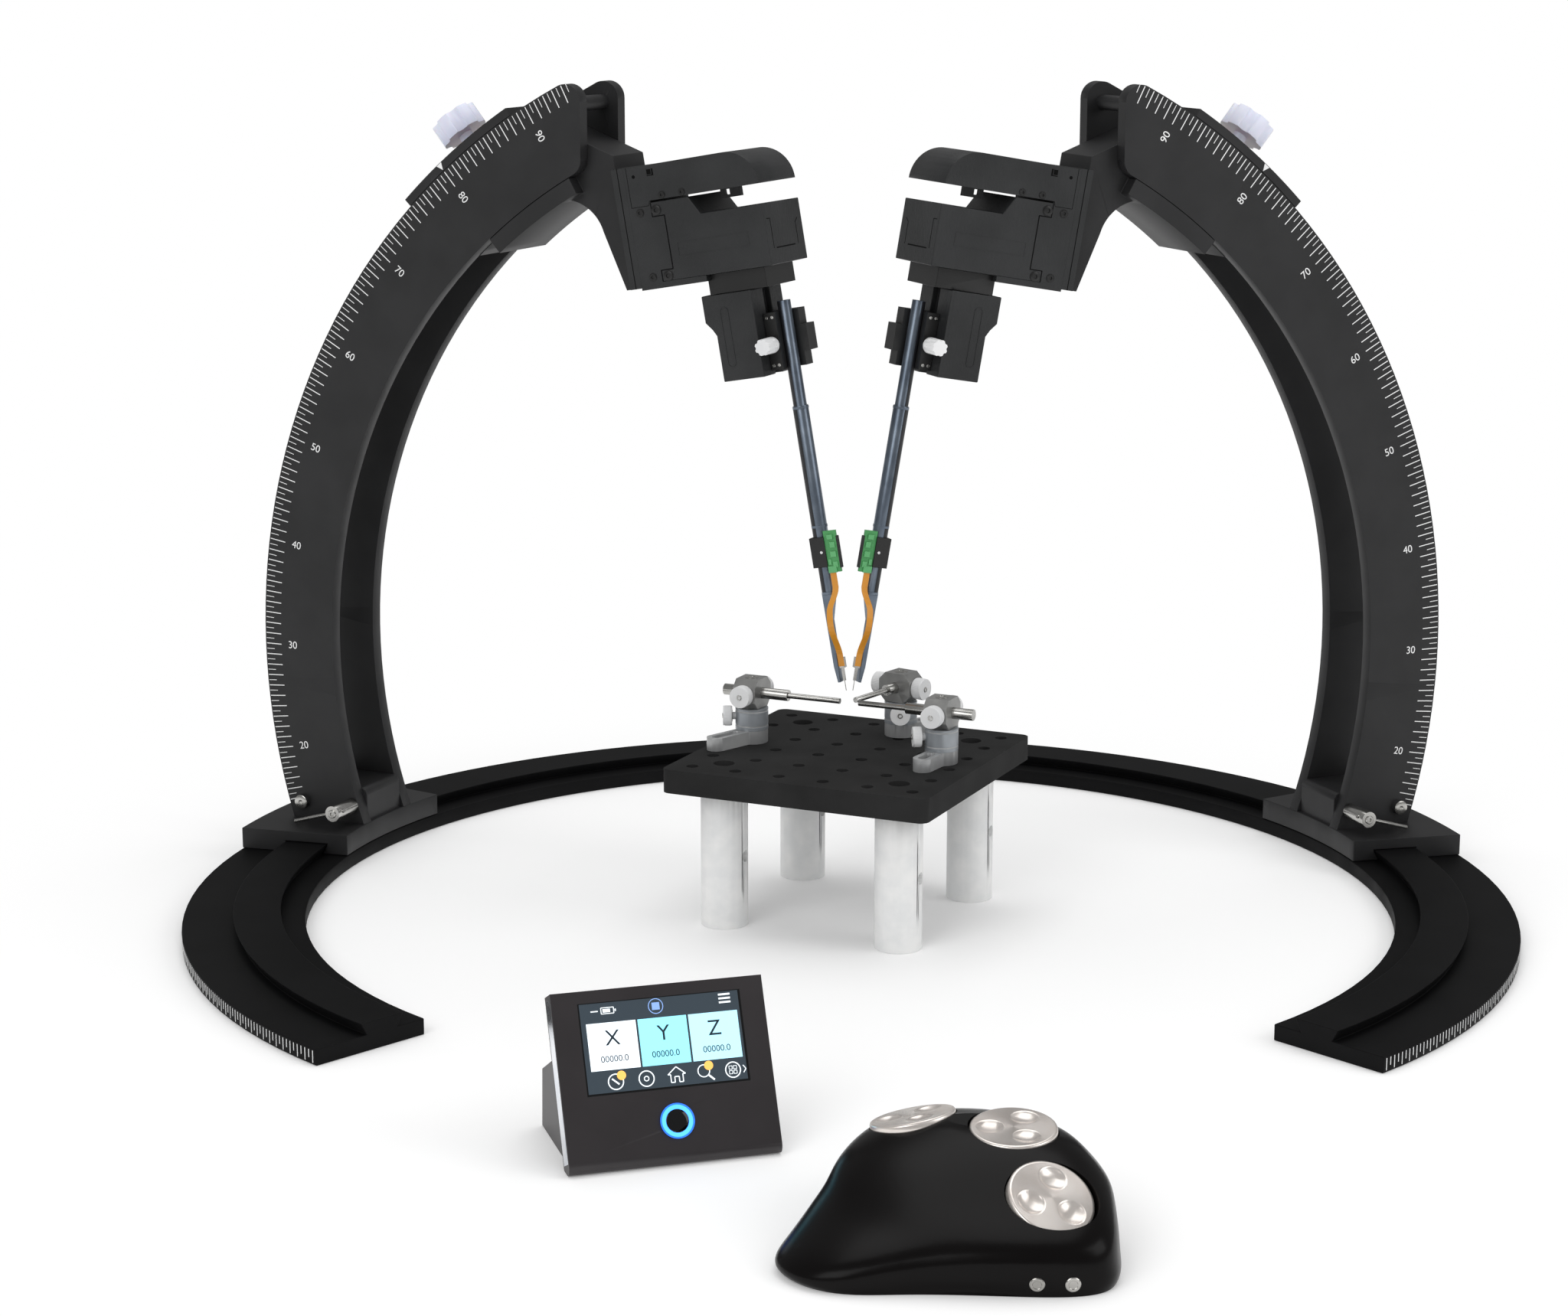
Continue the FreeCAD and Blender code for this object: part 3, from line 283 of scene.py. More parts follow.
post_steel = bare_metal("turned stainless steel", ("#eaebeb", "#f4f4f3"), 0.5, height_mm=0.002,
                        along=(0.3, 0.3, 1.0), metal=0.15)
bright_steel = bare_metal("ground stainless rod", ("#b4b3af", "#cfcecb"), 0.24)
grey_casting = bare_metal("grey anodised aluminium casting", ("#8e8e8d", "#a2a2a0"), 0.34, 0.5, 0.006,
                          metal=0.6)
foot_casting = bare_metal("light grey anodised foot", ("#b0b1b2", "#c0c1c1"), 0.36, 0.5, 0.006,
                          metal=0.4)
grey_collar = bare_metal("grey anodised collar", ("#9ba0a5", "#aaafb4"), 0.34, 0.4, 0.006, metal=0.45)
rod_steel = bare_metal("blue grey anodised aluminium tube", ("#5f6976", "#76808c"), 0.3, 0.5, 0.004,
                       metal=0.75)
channel_black = black_anodised("black anodised channel", ("#1d1e21", "#26272b"), 0.4, 0.35)
needle_steel = bare_metal("polished stainless shank", ("#a5a39f", "#bdbbb7"), 0.25, 0.3, 0.002)

# %% [markdown]
# ### Plastics and the dial metal
# Knobs are moulded nylon with a fine spark texture. The dial unit is black ABS with a soft gloss. Its
# dials are stainless discs faced on a lathe, so light gathers in two fans across each disc: an
# anisotropic highlight whose direction runs round the disc's axis.

# %% Plastics and the dial metal
def moulded(name, tones, roughness, grain_mm=0.6, height_mm=0.012, **sockets):
    material, tree, shader = surface(name, Roughness=roughness, **sockets)
    grained(tree, shader, grain_mm, height_mm, tones)
    return material


white_nylon = moulded("white moulded nylon", ("#e4e5e6", "#f1f1f1"), 0.38)
lilac_nylon = moulded("pale lilac moulded nylon", ("#dcdff2", "#eceefa"), 0.3, Subsurface_Weight=0.1)
black_plastic = moulded("black moulded acetal", ("#141414", "#1b1b1b"), 0.42)
gloss_abs = moulded("black glossy ABS", ("#0a0808", "#0c0a0a"), 0.25, height_mm=0.002,
                   Specular_IOR_Level=0.12)
satin_case = moulded("dark satin anodised case", ("#292527", "#2e2a2c"), 0.4, 0.4, 0.01)
screen_glass = moulded("black cover glass", ("#050608", "#08090c"), 0.06, height_mm=0.0005)
solder_mask = moulded("green solder mask", ("#3f9150", "#4fa35f"), 0.35, 0.5, 0.01)
chip_green = moulded("green coated chip", ("#58a868", "#69b878"), 0.3, 0.4, 0.006)
polyimide = moulded("orange polyimide ribbon", ("#cf8720", "#e29a33"), 0.3, 0.8, 0.01)

dial_metal, tree, shader = surface("faced stainless steel dial", Metallic=0.75, Roughness=0.27,
                                   Anisotropic=0.75)
grained(tree, shader, 0.25, 0.002, ("#f1e8e1", "#fbf4ee"), patch_mm=8)
radial = add(tree, "ShaderNodeTangent", direction_type="RADIAL", axis="Z")
tree.links.new(radial.outputs["Tangent"], shader.inputs["Tangent"])

# %% [markdown]
# ## Finishing the CAD nodes
# The solids are right as they are and only need their finish. Milled edges are broken by 0.4 mm on the
# real parts, which gives the thin light lines along them, so each solid gets a small bevel.

# %% Finishes of the CAD nodes
def finish_node(name, material, edge_mm=0.4):
    node = nodes[name]
    node.data.materials.clear()
    node.data.materials.append(material)
    if edge_mm:
        weld = node.modifiers.new("joined", "WELD")
        weld.merge_threshold = 0.00001
        bevel = node.modifiers.new("broken edges", "BEVEL")
        bevel.width = edge_mm * MM
        bevel.segments = 2
        bevel.limit_method = "ANGLE"
        bevel.angle_limit = math.radians(40)
        bevel.harden_normals = True


for side in SIDES:
    for part in ("shoe", "arc", "saddle", "bracket"):
        finish_node(side + "_" + part, anodised_face, 0.5)
    for part in ("adapter_plate", "head_base", "head_block", "lower_head"):
        finish_node(side + "_" + part, enamel, 0.5)
    finish_node(side + "_cross_slide", enamel_smooth, 0.3)
    finish_node(side + "_probe_clamp", black_plastic, 0.3)
    finish_node(side + "_clamp_lever", bright_steel, 0.3)
    finish_node(side + "_star_knob", lilac_nylon, 0.6)
    finish_node(side + "_clamp_knob", white_nylon, 0.25)
    finish_node(side + "_probe_clip", black_plastic, 0.2)
    finish_node(side + "_probe", needle_steel, 0.0)
    finish_node(side + "_rod", rod_steel, 0.2)
    finish_node(side + "_probe_flex", polyimide, 0.0)
for name in ("left", "right", "back"):
    finish_node("clamp_%s_head" % name, grey_casting, 0.4)
    finish_node("clamp_%s_bar" % name, bright_steel, 0.3)
    for knob in ("knob_a", "knob_b", "collar_knob"):
        finish_node("clamp_%s_%s" % (name, knob), white_nylon, 0.3)
finish_node("ring_rail", anodised_ring, 0.5)
finish_node("breadboard", anodised_board, 0.5)
finish_node("stage_posts", post_steel, 0.5)
finish_node("clamp_feet", foot_casting, 0.4)
finish_node("touch_shell", satin_case, 0.6)
finish_node("touch_screen", screen_glass, 0.0)
finish_node("touch_button", satin_case, 0.3)
finish_node("dial_shell", gloss_abs, 0.0)
for name in ("front", "top", "side"):
    finish_node("dial_" + name, dial_metal, 0.4)

# %% [markdown]
# ## Fittings
# A drawing lies in its own plane, x across and y up, and a frame stands it on the face that carries it.
# Seams and engraved marks are drawn as lines with a width, and screws are turned.

# %% Drawn lines, screws and lettering
UPRIGHT = Matrix(((1, 0, 0, 0), (0, 0, 1, 0), (0, 1, 0, 0), (0, 0, 0, 1)))
# A mark starts this far under its face and ends this far above it.
MARK_LOW, MARK_HIGH = -0.05, 0.06


def line(start, end, width, low=MARK_LOW, high=MARK_HIGH):
    along = Vector(end) - Vector(start)
    side = Vector((-along.y, along.x)).normalized() * width / 2
    corners = [Vector(start) - side, Vector(end) - side, Vector(end) + side, Vector(start) + side]
    return cut([tuple(corner) for corner in corners], low, high)


def trace(points, width, closed=True, **levels):
    """A drawn outline."""
    ends = points[1:] + points[:1] if closed else points[1:]
    return gathered([(Matrix(), line(start, end, width, **levels)) for start, end in zip(points, ends)])


def ring_points(x, y, radius, count=32, start=0, turn=360):
    angles = [math.radians(start + turn * step / count) for step in range(count + (turn < 360))]
    return [(x + radius * math.cos(angle), y + radius * math.sin(angle)) for angle in angles]


def rectangle(x1, y1, x2, y2):
    return [(x1, y1), (x2, y1), (x2, y2), (x1, y2)]


def washer(inner, outer, low, high):
    return spun([(inner, low), (outer, low), (outer, high), (inner, high), (inner, low)])


def screw(radius, rise=0.8, socket=0.45):
    """A button head with a socket."""
    hole = radius * socket
    return spun([(0, 0), (radius, 0), (radius, 0.6 * rise), (0.84 * radius, rise), (hole, rise),
                 (0.9 * hole, 0.15 * rise), (0, 0.15 * rise)], 24)


def lettering(text, height):
    """Plain figures, centred, in Blender's own typeface."""
    curve = bpy.data.curves.new("figures", "FONT")
    curve.body = text
    curve.size = height / 0.7
    curve.align_x = "CENTER"
    curve.align_y = "CENTER"
    curve.extrude = 0.04
    drawn = bpy.data.objects.new("figures", curve)
    mesh = bpy.data.meshes.new_from_object(drawn)
    points = [tuple(vertex.co) for vertex in mesh.vertices]
    faces = [list(face.vertices) for face in mesh.polygons]
    bpy.data.objects.remove(drawn)
    bpy.data.curves.remove(curve)
    bpy.data.meshes.remove(mesh)
    return points, faces


def joint_frame(name):
    """The frame of a joint at rest, its z along the joint's axis."""
    joint = [joint for joint in frame["joints"] if joint["name"] == name][0]
    across, along, up = joint["axis"]
    bearing = math.degrees(math.atan2(along, across))
    tilt = math.degrees(math.acos(up))
    return moved(*(number / MM for number in joint["pos_m"])) @ turned(bearing, "Z") @ turned(tilt, "Y")


# %% [markdown]
# ### Scales on the arcs and the ring
# White filled engraving: a long line at each degree, a short one at each half and a figure at each ten.
# The figures run inward along their line on the left arm and outward on the right one, so both can be
# read.

# %% Scales
engraving = moulded("white filled engraving", ("#e6e7e7", "#f4f4f4"), 0.6)
# The elevation, in degrees, at which the scale would say 0, and the figures' radius and height.
LABEL_ZERO = -30.3
FIRST_MARK, LAST_MARK = 15, 95
FIGURE_RADIUS, FIGURE_HEIGHT = 333.5, 4.2
# Length and width of a mark.
DEGREE_MARK, HALF_MARK = (9.8, 0.5), (5, 0.35)
ARC_FACE = 25.5
ARC_EDGE = 350.8


def on_arc(radius, elevation):
    angle = math.radians(elevation)
    return radius * math.cos(angle), TARGET_HEIGHT + radius * math.sin(angle)


def arc_scale(side):
    parts = []
    for half in range(2 * FIRST_MARK, 2 * LAST_MARK):
        elevation = LABEL_ZERO + half / 2
        length, width = HALF_MARK if half % 2 else DEGREE_MARK
        ends = [on_arc(radius, elevation) for radius in (ARC_EDGE, ARC_EDGE - length)]
        parts.append((UPRIGHT, line(*ends, width)))
    for label in range(20, 100, 10):
        elevation = LABEL_ZERO + label
        place = moved(*on_arc(FIGURE_RADIUS, elevation), 0.03) @ turned(elevation, "Z")
        # The figures are written from the front, where the upright plane's x runs to the left.
        hand = MIRRORED if side == "left" else Matrix()
        parts.append((UPRIGHT @ place @ hand, lettering(str(label), FIGURE_HEIGHT)))
    face = ARM[side] @ moved(0, ARC_FACE, 0)
    piece(side + "_arc_scale", gathered(parts), face, side + "_shoe", engraving)
    pointer = cut([on_arc(352.2, 49.7), on_arc(356, 49.4), on_arc(356, 50)], MARK_LOW, MARK_HIGH)
    piece(side + "_pointer", pointer, face @ UPRIGHT, side + "_carriage", engraving)


RING_EDGE = 354
RING_TOP = 7
# Each end of the ring has its scale on the outer wall: the way it runs and its first mark's bearing.
RING_SCALES = ((-1, 225.3), (1, -45.3))
RING_MARKS = 72
ring_marks = []
for half in range(RING_MARKS):
    length = 4 if half % 2 else 6
    mark = slab(RING_EDGE - 0.1, -0.25, RING_TOP - length, RING_EDGE + MARK_HIGH, 0.25, RING_TOP)
    for direction, end in RING_SCALES:
        ring_marks.append((turned(end + direction * half / 2, "Z"), mark))
piece("ring_scale", gathered(ring_marks), Matrix(), "bench", engraving)
for side in SIDES:
    arc_scale(side)

# %% [markdown]
# ### Feet of the arms
# Each pivot pin shows a bright turned end on both cheeks, and the clamp lever's hub a screw in its end.

# %% Feet of the arms
PIN_X, PIN_FACE, PIN_HEIGHT = 329.5, 28.5, 29.6
HUB_END = (297.5, 45.8, 30.3)
PIN_END = [(0, -0.2), (4.05, -0.2), (4.05, 0.2), (3.6, 0.5), (1.2, 0.5), (0.9, 0.2), (0, 0.1)]
for side in SIDES:
    caps = []
    for front in (1, -1):
        place = moved(PIN_X, front * PIN_FACE, PIN_HEIGHT) @ turned(-90 * front, "X")
        caps.append((place, spun(PIN_END)))
    piece(side + "_pin_ends", gathered(caps), ARM[side], side + "_shoe", bright_steel)
    hub = moved(*HUB_END) @ turned(-90, "X")
    piece(side + "_hub_screw", screw(2.4), ARM[side] @ hub, side + "_lever", bright_steel)

# %% [markdown]
# ### Heads
# The housings carry button screws, thin seams drawn as dark lines of painted shade, an oval emboss and a
# blank raised frame on the front.

# %% Heads
# This near black is painted shade: seams, slits, small recesses and the rings round the dials are drawn
# in it for the shade in their narrow gaps.
shadow_gap = black_anodised("painted shade in seams and gaps", ("#060606", "#0a0a0a"), 0.7, 0.1)
# Faces of the head and of the lower head, from the middle plane, and the head's inner end.
HEAD_FACE = 22.5
LOWER_FACE = 18.5
INNER_END = -4.7
# Places are given outward and upward in the head's frame; a screw's third number is its radius.
COVER_SEAM = [(70.2, 289), (70.2, 268), (60, 268), (59.2, 270.5)]
BLOCK_SEAM = [(59, 228), (59, 234), (52, 234), (52, 262), (59, 262), (59, 269.3)]
PLATE_SEAM = [(75.5, 226), (75.5, 289.5)]
COVER_MARK = (54.6, 283.2, 58.4, 286.8)
RAISED_FRAME = (6, 240, 47, 247)
SCREWS = [(51.6, 272.6, 1.7), (39.9, 272.5, 1.7), (65.8, 265, 2.0), (64.4, 231, 2.0), (56.2, 265.2, 2.6),
          (55.3, 230.6, 2.6)]


def head_details(side):
    front = HEAD[side] @ moved(0, HEAD_FACE, 0) @ UPRIGHT
    back = HEAD[side] @ moved(0, -HEAD_FACE, 0) @ UPRIGHT
    screws = [(moved(u, w, 0), screw(radius, 0.6)) for u, w, radius in SCREWS]
    rims = [(moved(u, w, 0), washer(radius, radius + 0.3, -0.1, 0.15)) for u, w, radius in SCREWS]
    piece(side + "_head_screws", gathered(screws + rims), front, side + "_carriage", enamel_smooth)
    # The seams, the small recess and the hole beside them are painted shade.
    lines = [trace(COVER_SEAM, 0.25, closed=False), trace(BLOCK_SEAM, 0.45, closed=False),
             line(*PLATE_SEAM, 0.45), cut(rectangle(*COVER_MARK), -0.1, 0.12),
             cut(ring_points(66.4, 283.9, 0.9), -0.1, 0.12)]
    both = [(place, shape) for shape in lines for place in (front, back)]
    piece(side + "_head_seams", gathered(both), Matrix(), side + "_carriage", shadow_gap)
    frames = [trace(rectangle(*RAISED_FRAME), 0.25, high=0.12),
              trace(rectangle(55.6, 283.8, 58.4, 286.8), 0.3, high=0.2)]
    piece(side + "_raised_frames", gathered([(front, shape) for shape in frames]), Matrix(),
          side + "_carriage", enamel)
    # The slits in the inner end are painted shade as well.
    inner = HEAD[side] @ moved(INNER_END, 0, 0) @ turned(-90, "Y") @ turned(-90, "Z")
    slits = [line((-13, 236.5), (10, 236.5), 0.7),
             trace([(-20, 252), (-16, 252), (-16, 236.5)], 0.4, closed=False),
             trace([(14, 236.5), (14, 248), (17, 250)], 0.4, closed=False)]
    piece(side + "_inner_slits", gathered([(inner, shape) for shape in slits]), Matrix(),
          side + "_carriage", shadow_gap)
    oval = ring_points(28.7, 208, 2.2, 14, 0, 180) + ring_points(28.7, 181, 2.2, 14, 180, 180)
    lower = HEAD[side] @ moved(0, LOWER_FACE, 0) @ UPRIGHT
    edge = line((12.2, 172), (12.2, 217), 1.4, high=0.25)
    emboss = gathered([(lower, trace(oval, 0.4, high=0.22)), (lower, edge)])
    piece(side + "_lower_emboss", emboss, Matrix(), side + "_lower_head", enamel)


for side in SIDES:
    head_details(side)

# %% [markdown]
# ### Rods and probes
# The tube has a darker lengthwise channel on its front. A green board with its chips is clipped beside
# it. The orange ribbon leaves a flat socket at the board's lower edge for the needle.

# %% Rods and probes
ROD = {side: HEAD[side] @ moved(2.4, 0, 0) for side in SIDES}
ROD_RADIUS = 3.5
SLEEVE_RADIUS = 4.1
CHANNEL_START, CHANNEL_TURN = 20, 62
COLLAR_LOWS = (52.4, 88, 151.4)


def arc_strip(radius):
    """The cross section of a strip laid on a round bar."""
    outer = ring_points(0, 0, radius + 0.12, 12, CHANNEL_START, CHANNEL_TURN)
    return outer + ring_points(0, 0, radius - 0.12, 12, CHANNEL_START, CHANNEL_TURN)[::-1]


def probe_details(side):
    body = side + "_rod"
    channel = cut(arc_strip(SLEEVE_RADIUS), 52.5, 152.5)
    upper = cut(arc_strip(ROD_RADIUS), 153.2, 208.4)
    piece(side + "_rod_channel", gathered([(Matrix(), channel), (Matrix(), upper)]), ROD[side], body,
          channel_black)
    collars = [(Matrix(), washer(3.9, 4.35, low, low + 1.2)) for low in COLLAR_LOWS]
    piece(side + "_rod_collars", gathered(collars), ROD[side], body, rod_steel)
    board = slab(-10.5, 2.85, 63.9, -3.3, 4.35, 86.1)
    piece(side + "_green_board", board, ROD[side], body, solder_mask)
    chips = [slab(-9.4, 4.3, 66.5, -6.8, 4.9, 69.5), slab(-9.2, 4.3, 72, -6, 5, 75),
             slab(-9.2, 4.3, 77, -6.4, 4.9, 80), slab(-5.8, 4.3, 68, -4.2, 4.8, 71),
             slab(-8.6, 4.3, 81.5, -5.4, 5.2, 84)]
    piece(side + "_chips", gathered([(Matrix(), chip) for chip in chips]), ROD[side], body, chip_green)
    strip = slab(-11.4, 2.6, 66, -10.4, 4.6, 83)
    piece(side + "_board_edge", strip, ROD[side], body, black_plastic)
    socket = slab(-8.4, 4.3, 63.7, -3.6, 5.1, 67.2)
    piece(side + "_ribbon_socket", socket, ROD[side], body, chip_green)
    dot = moved(-1.2, 5.2, 75) @ turned(-90, "X")
    piece(side + "_clip_screw", screw(0.75, 0.4), ROD[side] @ dot, body, white_nylon)


for side in SIDES:
    probe_details(side)
    bolts = [(moved(u, 9, w) @ turned(-90, "X"), screw(0.9, 0.4))
             for u in (6.4, 9.6) for w in (176, 201)]
    piece(side + "_clamp_bolts", gathered(bolts), HEAD[side], side + "_probe_clamp", bright_steel)

# %% [markdown]
# ### Bar clamps
# Each white knob has a socket screw in its face and a knurled rim. The castings carry a socket screw on
# top, and the collars two turned grooves.

# %% Bar clamps
CLAMPS = ("left", "right", "back")
# Each knob's thickness and radius.
KNOBS = {"knob_a": (5.7, 5.7), "knob_b": (5.7, 5.7), "collar_knob": (4.7, 5.3)}
RIDGES = 60
COLLAR_TOP = 19
CLAMP_TOP = 27.3 + 8
COLLAR_SKIRT = [(8.72, 7.1), (8.9, 7.3), (8.9, 9), (8.6, 9.3), (8.6, 9.7), (8.9, 10), (8.9, 17),
                (8.6, 17.3), (8.6, 17.7), (8.9, 18), (8.9, 18.8), (8.3, 19.1), (6.6, 19.1)]


def knurled(radius, low, high):
    """A band of fine ridges round a knob."""
    outline = []
    for step in range(2 * RIDGES):
        angle = math.pi * step / RIDGES
        reach = radius + (0.16 if step % 2 else 0.02)
        outline.append((reach * math.cos(angle), reach * math.sin(angle)))
    return cut(outline, low, high)


for name in CLAMPS:
    for knob, (thick, radius) in KNOBS.items():
        label = "clamp_%s_%s" % (name, knob)
        place = joint_frame(label + "_turn")
        piece(label + "_screw", screw(1.5, 0.7, 0.6), place @ moved(0, 0, thick - 0.2), label,
              bright_steel)
        piece(label + "_rim", knurled(radius, 0.7, thick - 0.8), place, label, white_nylon)
        piece(label + "_hub", washer(1.9, 3.2, -0.28, 0.2), place, label, bright_steel)
    centre = joint_frame("clamp_%s_swivel" % name)
    head = "clamp_%s_head" % name
    top = centre @ moved(0, 0, CLAMP_TOP - COLLAR_TOP)
    rings = [(top, washer(3.1, 3.7, -0.1, 0.15)), (top, screw(3.1, 0.35, 0.6))]
    piece(head + "_screw", gathered(rings), Matrix(), head, bright_steel)
    collar = centre @ moved(0, 0, -COLLAR_TOP)
    piece("clamp_%s_collar" % name, spun(COLLAR_SKIRT), collar, "bench", grey_collar)

# %% [markdown]
# ### Touch unit
# The glass shows three bright tiles with an axis letter and a reading, a bar of menu marks above and
# five plain icons below. A ring of blue light goes round the button. The slab's side edges are polished.

# %% Touch unit
def lit(name, text, strength):
    material = moulded(name, (text, text), 0.25, height_mm=0.001)
    shader = material.node_tree.nodes["Principled BSDF"]
    shader.inputs["Emission Color"].default_value = colour(text)
    shader.inputs["Emission Strength"].default_value = strength
    return material


SCREEN = PANEL @ moved(0.4, 0.28, 34.2) @ turned(90, "X")
BUTTON = PANEL @ moved(2, -0.4, 20.3) @ turned(90, "X")


def screen_piece(name, shapes, material, level=0.0):
    drawn = gathered([(moved(0, 0, level), shape) for shape in shapes])
    piece("screen_" + name, drawn, SCREEN, "touch_unit", material)


def written(text, x, y, height):
    return gathered([(moved(x, y, 0), lettering(text, height))])


screen_piece("backdrop", [cut(rectangle(-35.4, 1, 35.2, 39.6), -0.02, 0.02)],
             lit("slate screen", "#333d45", 0.5))
TILE_LOW, TILE_HIGH = 10.6, 31
LETTER_ROW, READING_ROW = 24, 15.2
TILES = {"X": (-33.2, -11.4, "#e8f2fa"), "Y": (-10.5, 11.1, "#8fe3f8"), "Z": (12, 34, "#aee6fa")}
for letter, (left, right, text) in TILES.items():
    tile = cut(rectangle(left, TILE_LOW, right, TILE_HIGH), 0, 0.04)
    screen_piece("tile_" + letter, [tile], lit("screen tile " + letter, text, 0.75))
ink = lit("screen ink", "#22303a", 0.25)
for letter, (left, right, text) in TILES.items():
    middle = (left + right) / 2
    words = [written(letter, middle, LETTER_ROW, 6.6), written("00000.0", middle, READING_ROW, 2.7)]
    screen_piece("reading_" + letter, words, ink, 0.05)
pale_mark = lit("screen marks", "#dfe6ea", 0.75)
ICON_ROW = 5.4
BAR_ROW = 36.1
marks = [trace(ring_points(x, ICON_ROW, 3.3), 0.5) for x in (-23, -9.5, 29)]
house = [(1.2, 2.6), (1.2, 6), (0, 6), (3.9, 9.2), (7.8, 6), (6.6, 6), (6.6, 2.6), (4.9, 2.6), (4.9, 5),
         (2.9, 5), (2.9, 2.6)]
marks += [trace(house, 0.45)]
marks += [trace(ring_points(16, 6.2, 2.6), 0.45), line((17.8, 4.4), (20.4, 2), 0.8),
          line((-24.6, 6.8), (-21.6, 4.2), 0.7)]
marks += [trace(ring_points(-9.5, ICON_ROW, 1), 0.4)]
marks += [trace(rectangle(29 + x, ICON_ROW + y, 30.4 + x, ICON_ROW + 1.4 + y), 0.25)
          for x in (-1.7, 0.3) for y in (-1.7, 0.3)]
marks += [trace([(33.6, 7), (34.8, 5.4), (33.6, 3.8)], 0.4, closed=False)]
marks += [line((26.4, y), (31.6, y), 0.8) for y in (34.9, 36.6, 38.3)]
marks += [trace(rectangle(-26, 34.8, -20.4, 37.4), 0.35), line((-20, BAR_ROW), (-19.4, BAR_ROW), 1)]
marks += [line((-25.3, BAR_ROW), (-22, BAR_ROW), 1.5), line((-30.6, BAR_ROW), (-27.4, BAR_ROW), 0.5)]
screen_piece("marks", marks, pale_mark, 0.05)
blue_mark = lit("screen blue mark", "#7f9fd6", 0.7)
mode = [trace(ring_points(-1.8, 36, 3.2), 0.35), cut(rectangle(-3.5, 34.4, -0.1, 37.6), 0, 0.05)]
screen_piece("mode_mark", mode, blue_mark, 0.05)
screen_piece("badges", [cut(ring_points(x, y, 2), 0.05, 0.12) for x, y in ((-20.3, 7.9), (18.4, 8.3))],
             lit("screen badges", "#f2b45c", 0.8), 0.05)

glow = lit("blue ring of light", "#3f8dff", 2.4)
piece("button_light", washer(5.1, 6.9, -0.1, 0.25), BUTTON, "touch_button", glow)
halo = lit("blue halo", "#2a6ff0", 0.9)
piece("button_halo", washer(6.9, 7.6, 0.32, 0.42), BUTTON, "touch_unit", halo)
dome = spun([(0, 0), (5, 0), (5, 0.15), (4.6, 0.35), (2.5, 0.55), (0, 0.6)])
piece("button_dome", dome, BUTTON, "touch_button", screen_glass)
polished = bare_metal("polished aluminium edge", ("#d8dde6", "#eef1f6"), 0.16, 0.6, 0.002)
PANEL_EDGE = 47.1
edges = [slab(x - 0.06, 1, 7, x + 0.06, 9.6, 77.5) for x in (-PANEL_EDGE, PANEL_EDGE)]
piece("touch_polished_edges", gathered([(Matrix(), edge) for edge in edges]), PANEL, "touch_unit",
      polished)
bezel = trace(rectangle(-36.4, -0.2, 36.4, 40.2), 0.7, low=-0.9, high=0.02)
piece("touch_bezel", bezel, SCREEN @ moved(0, 0, 0.25), "touch_unit", black_plastic)
foot = spun([(0, 0.05), (4, 0.05), (4, 0.4), (0, 0.4)])
feet = [(moved(x, y, 0), foot) for x in (-36, 36) for y in (20, 60)]
piece("touch_feet", gathered(feet), TOUCH, "touch_unit", black_plastic)

# %% [markdown]
# ### Dial unit
# The dials are faced discs with three round finger hollows. The hollows are cut in the mesh itself, on a
# fine polar grid, and the disc keeps its own frame so that the lathe lines run round its axis.

# %% Dial unit
DIAL_RADIUS = 18
DIAL_TOP = 3.1
HOLLOW_PLACE = 9.6
HOLLOW_RADIUS = 5.6
HOLLOW_DEPTH = 1.7


def hollow_depth(x, y):
    """How far the dial's face lies below its top at a point."""
    deepest = 0
    for angle in (30, 150, 270):
        turn = math.radians(angle)
        away = math.hypot(x - HOLLOW_PLACE * math.cos(turn), y - HOLLOW_PLACE * math.sin(turn))
        inside = max(1 - (away / HOLLOW_RADIUS) ** 2, 0)
        deepest = max(deepest, HOLLOW_DEPTH * inside ** 0.8)
    return deepest


def dial_shape():
    """A disc with a rounded rim, its face a fine polar grid that takes the hollows."""
    profile = [(0, -2.8), (DIAL_RADIUS - 0.6, -2.8), (DIAL_RADIUS, -2.2), (DIAL_RADIUS, DIAL_TOP - 1),
               (DIAL_RADIUS - 0.3, DIAL_TOP - 0.3), (DIAL_RADIUS - 1, DIAL_TOP)]
    steps = 44
    profile += [((DIAL_RADIUS - 1) * (1 - step / steps), DIAL_TOP) for step in range(1, steps)]
    profile += [(0, DIAL_TOP)]
    points, faces = spun(profile, 132)
    return [(x, y, z - hollow_depth(x, y) if z == DIAL_TOP else z) for x, y, z in points], faces


def dial(name):
    points, faces = dial_shape()
    mesh = bpy.data.meshes.new("turned_dial_" + name)
    mesh.from_pydata([Vector(point) * MM for point in points], [], faces)
    mesh.shade_smooth()
    mesh.set_sharp_from_angle(angle=math.radians(50))
    made = bpy.data.objects.new("turned_dial_" + name, mesh)
    place = joint_frame("dial_%s_turn" % name)
    made.matrix_world = Matrix.Translation(place.translation * MM) @ place.to_3x3().to_4x4()
    bpy.context.collection.objects.link(made)
    mesh.materials.append(dial_metal)
    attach(made, "dial_" + name)
    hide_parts("dial_" + name)


for name in ("front", "top", "side"):
    dial(name)
    # Each seat ring is painted shade: a dark ring in the narrow gap round the dial.
    seat = washer(DIAL_RADIUS + 0.05, DIAL_RADIUS + 0.7, -3.1, -2.6)
    piece("dial_seat_" + name, seat, joint_frame("dial_%s_turn" % name), "dial_unit", shadow_gap)


BEFORE_SHELL = -600


def jack(x, z):
    """A bright socket on the shell's front wall, found by looking along y."""
    start = Vector((x, BEFORE_SHELL, z)) * MM
    place, normal = nodes["dial_shell"].ray_cast(start, Vector((0, 1, 0)))[1:3]
    return Matrix.Translation(place / MM) @ normal.to_track_quat("Z", "Y").to_matrix().to_4x4()


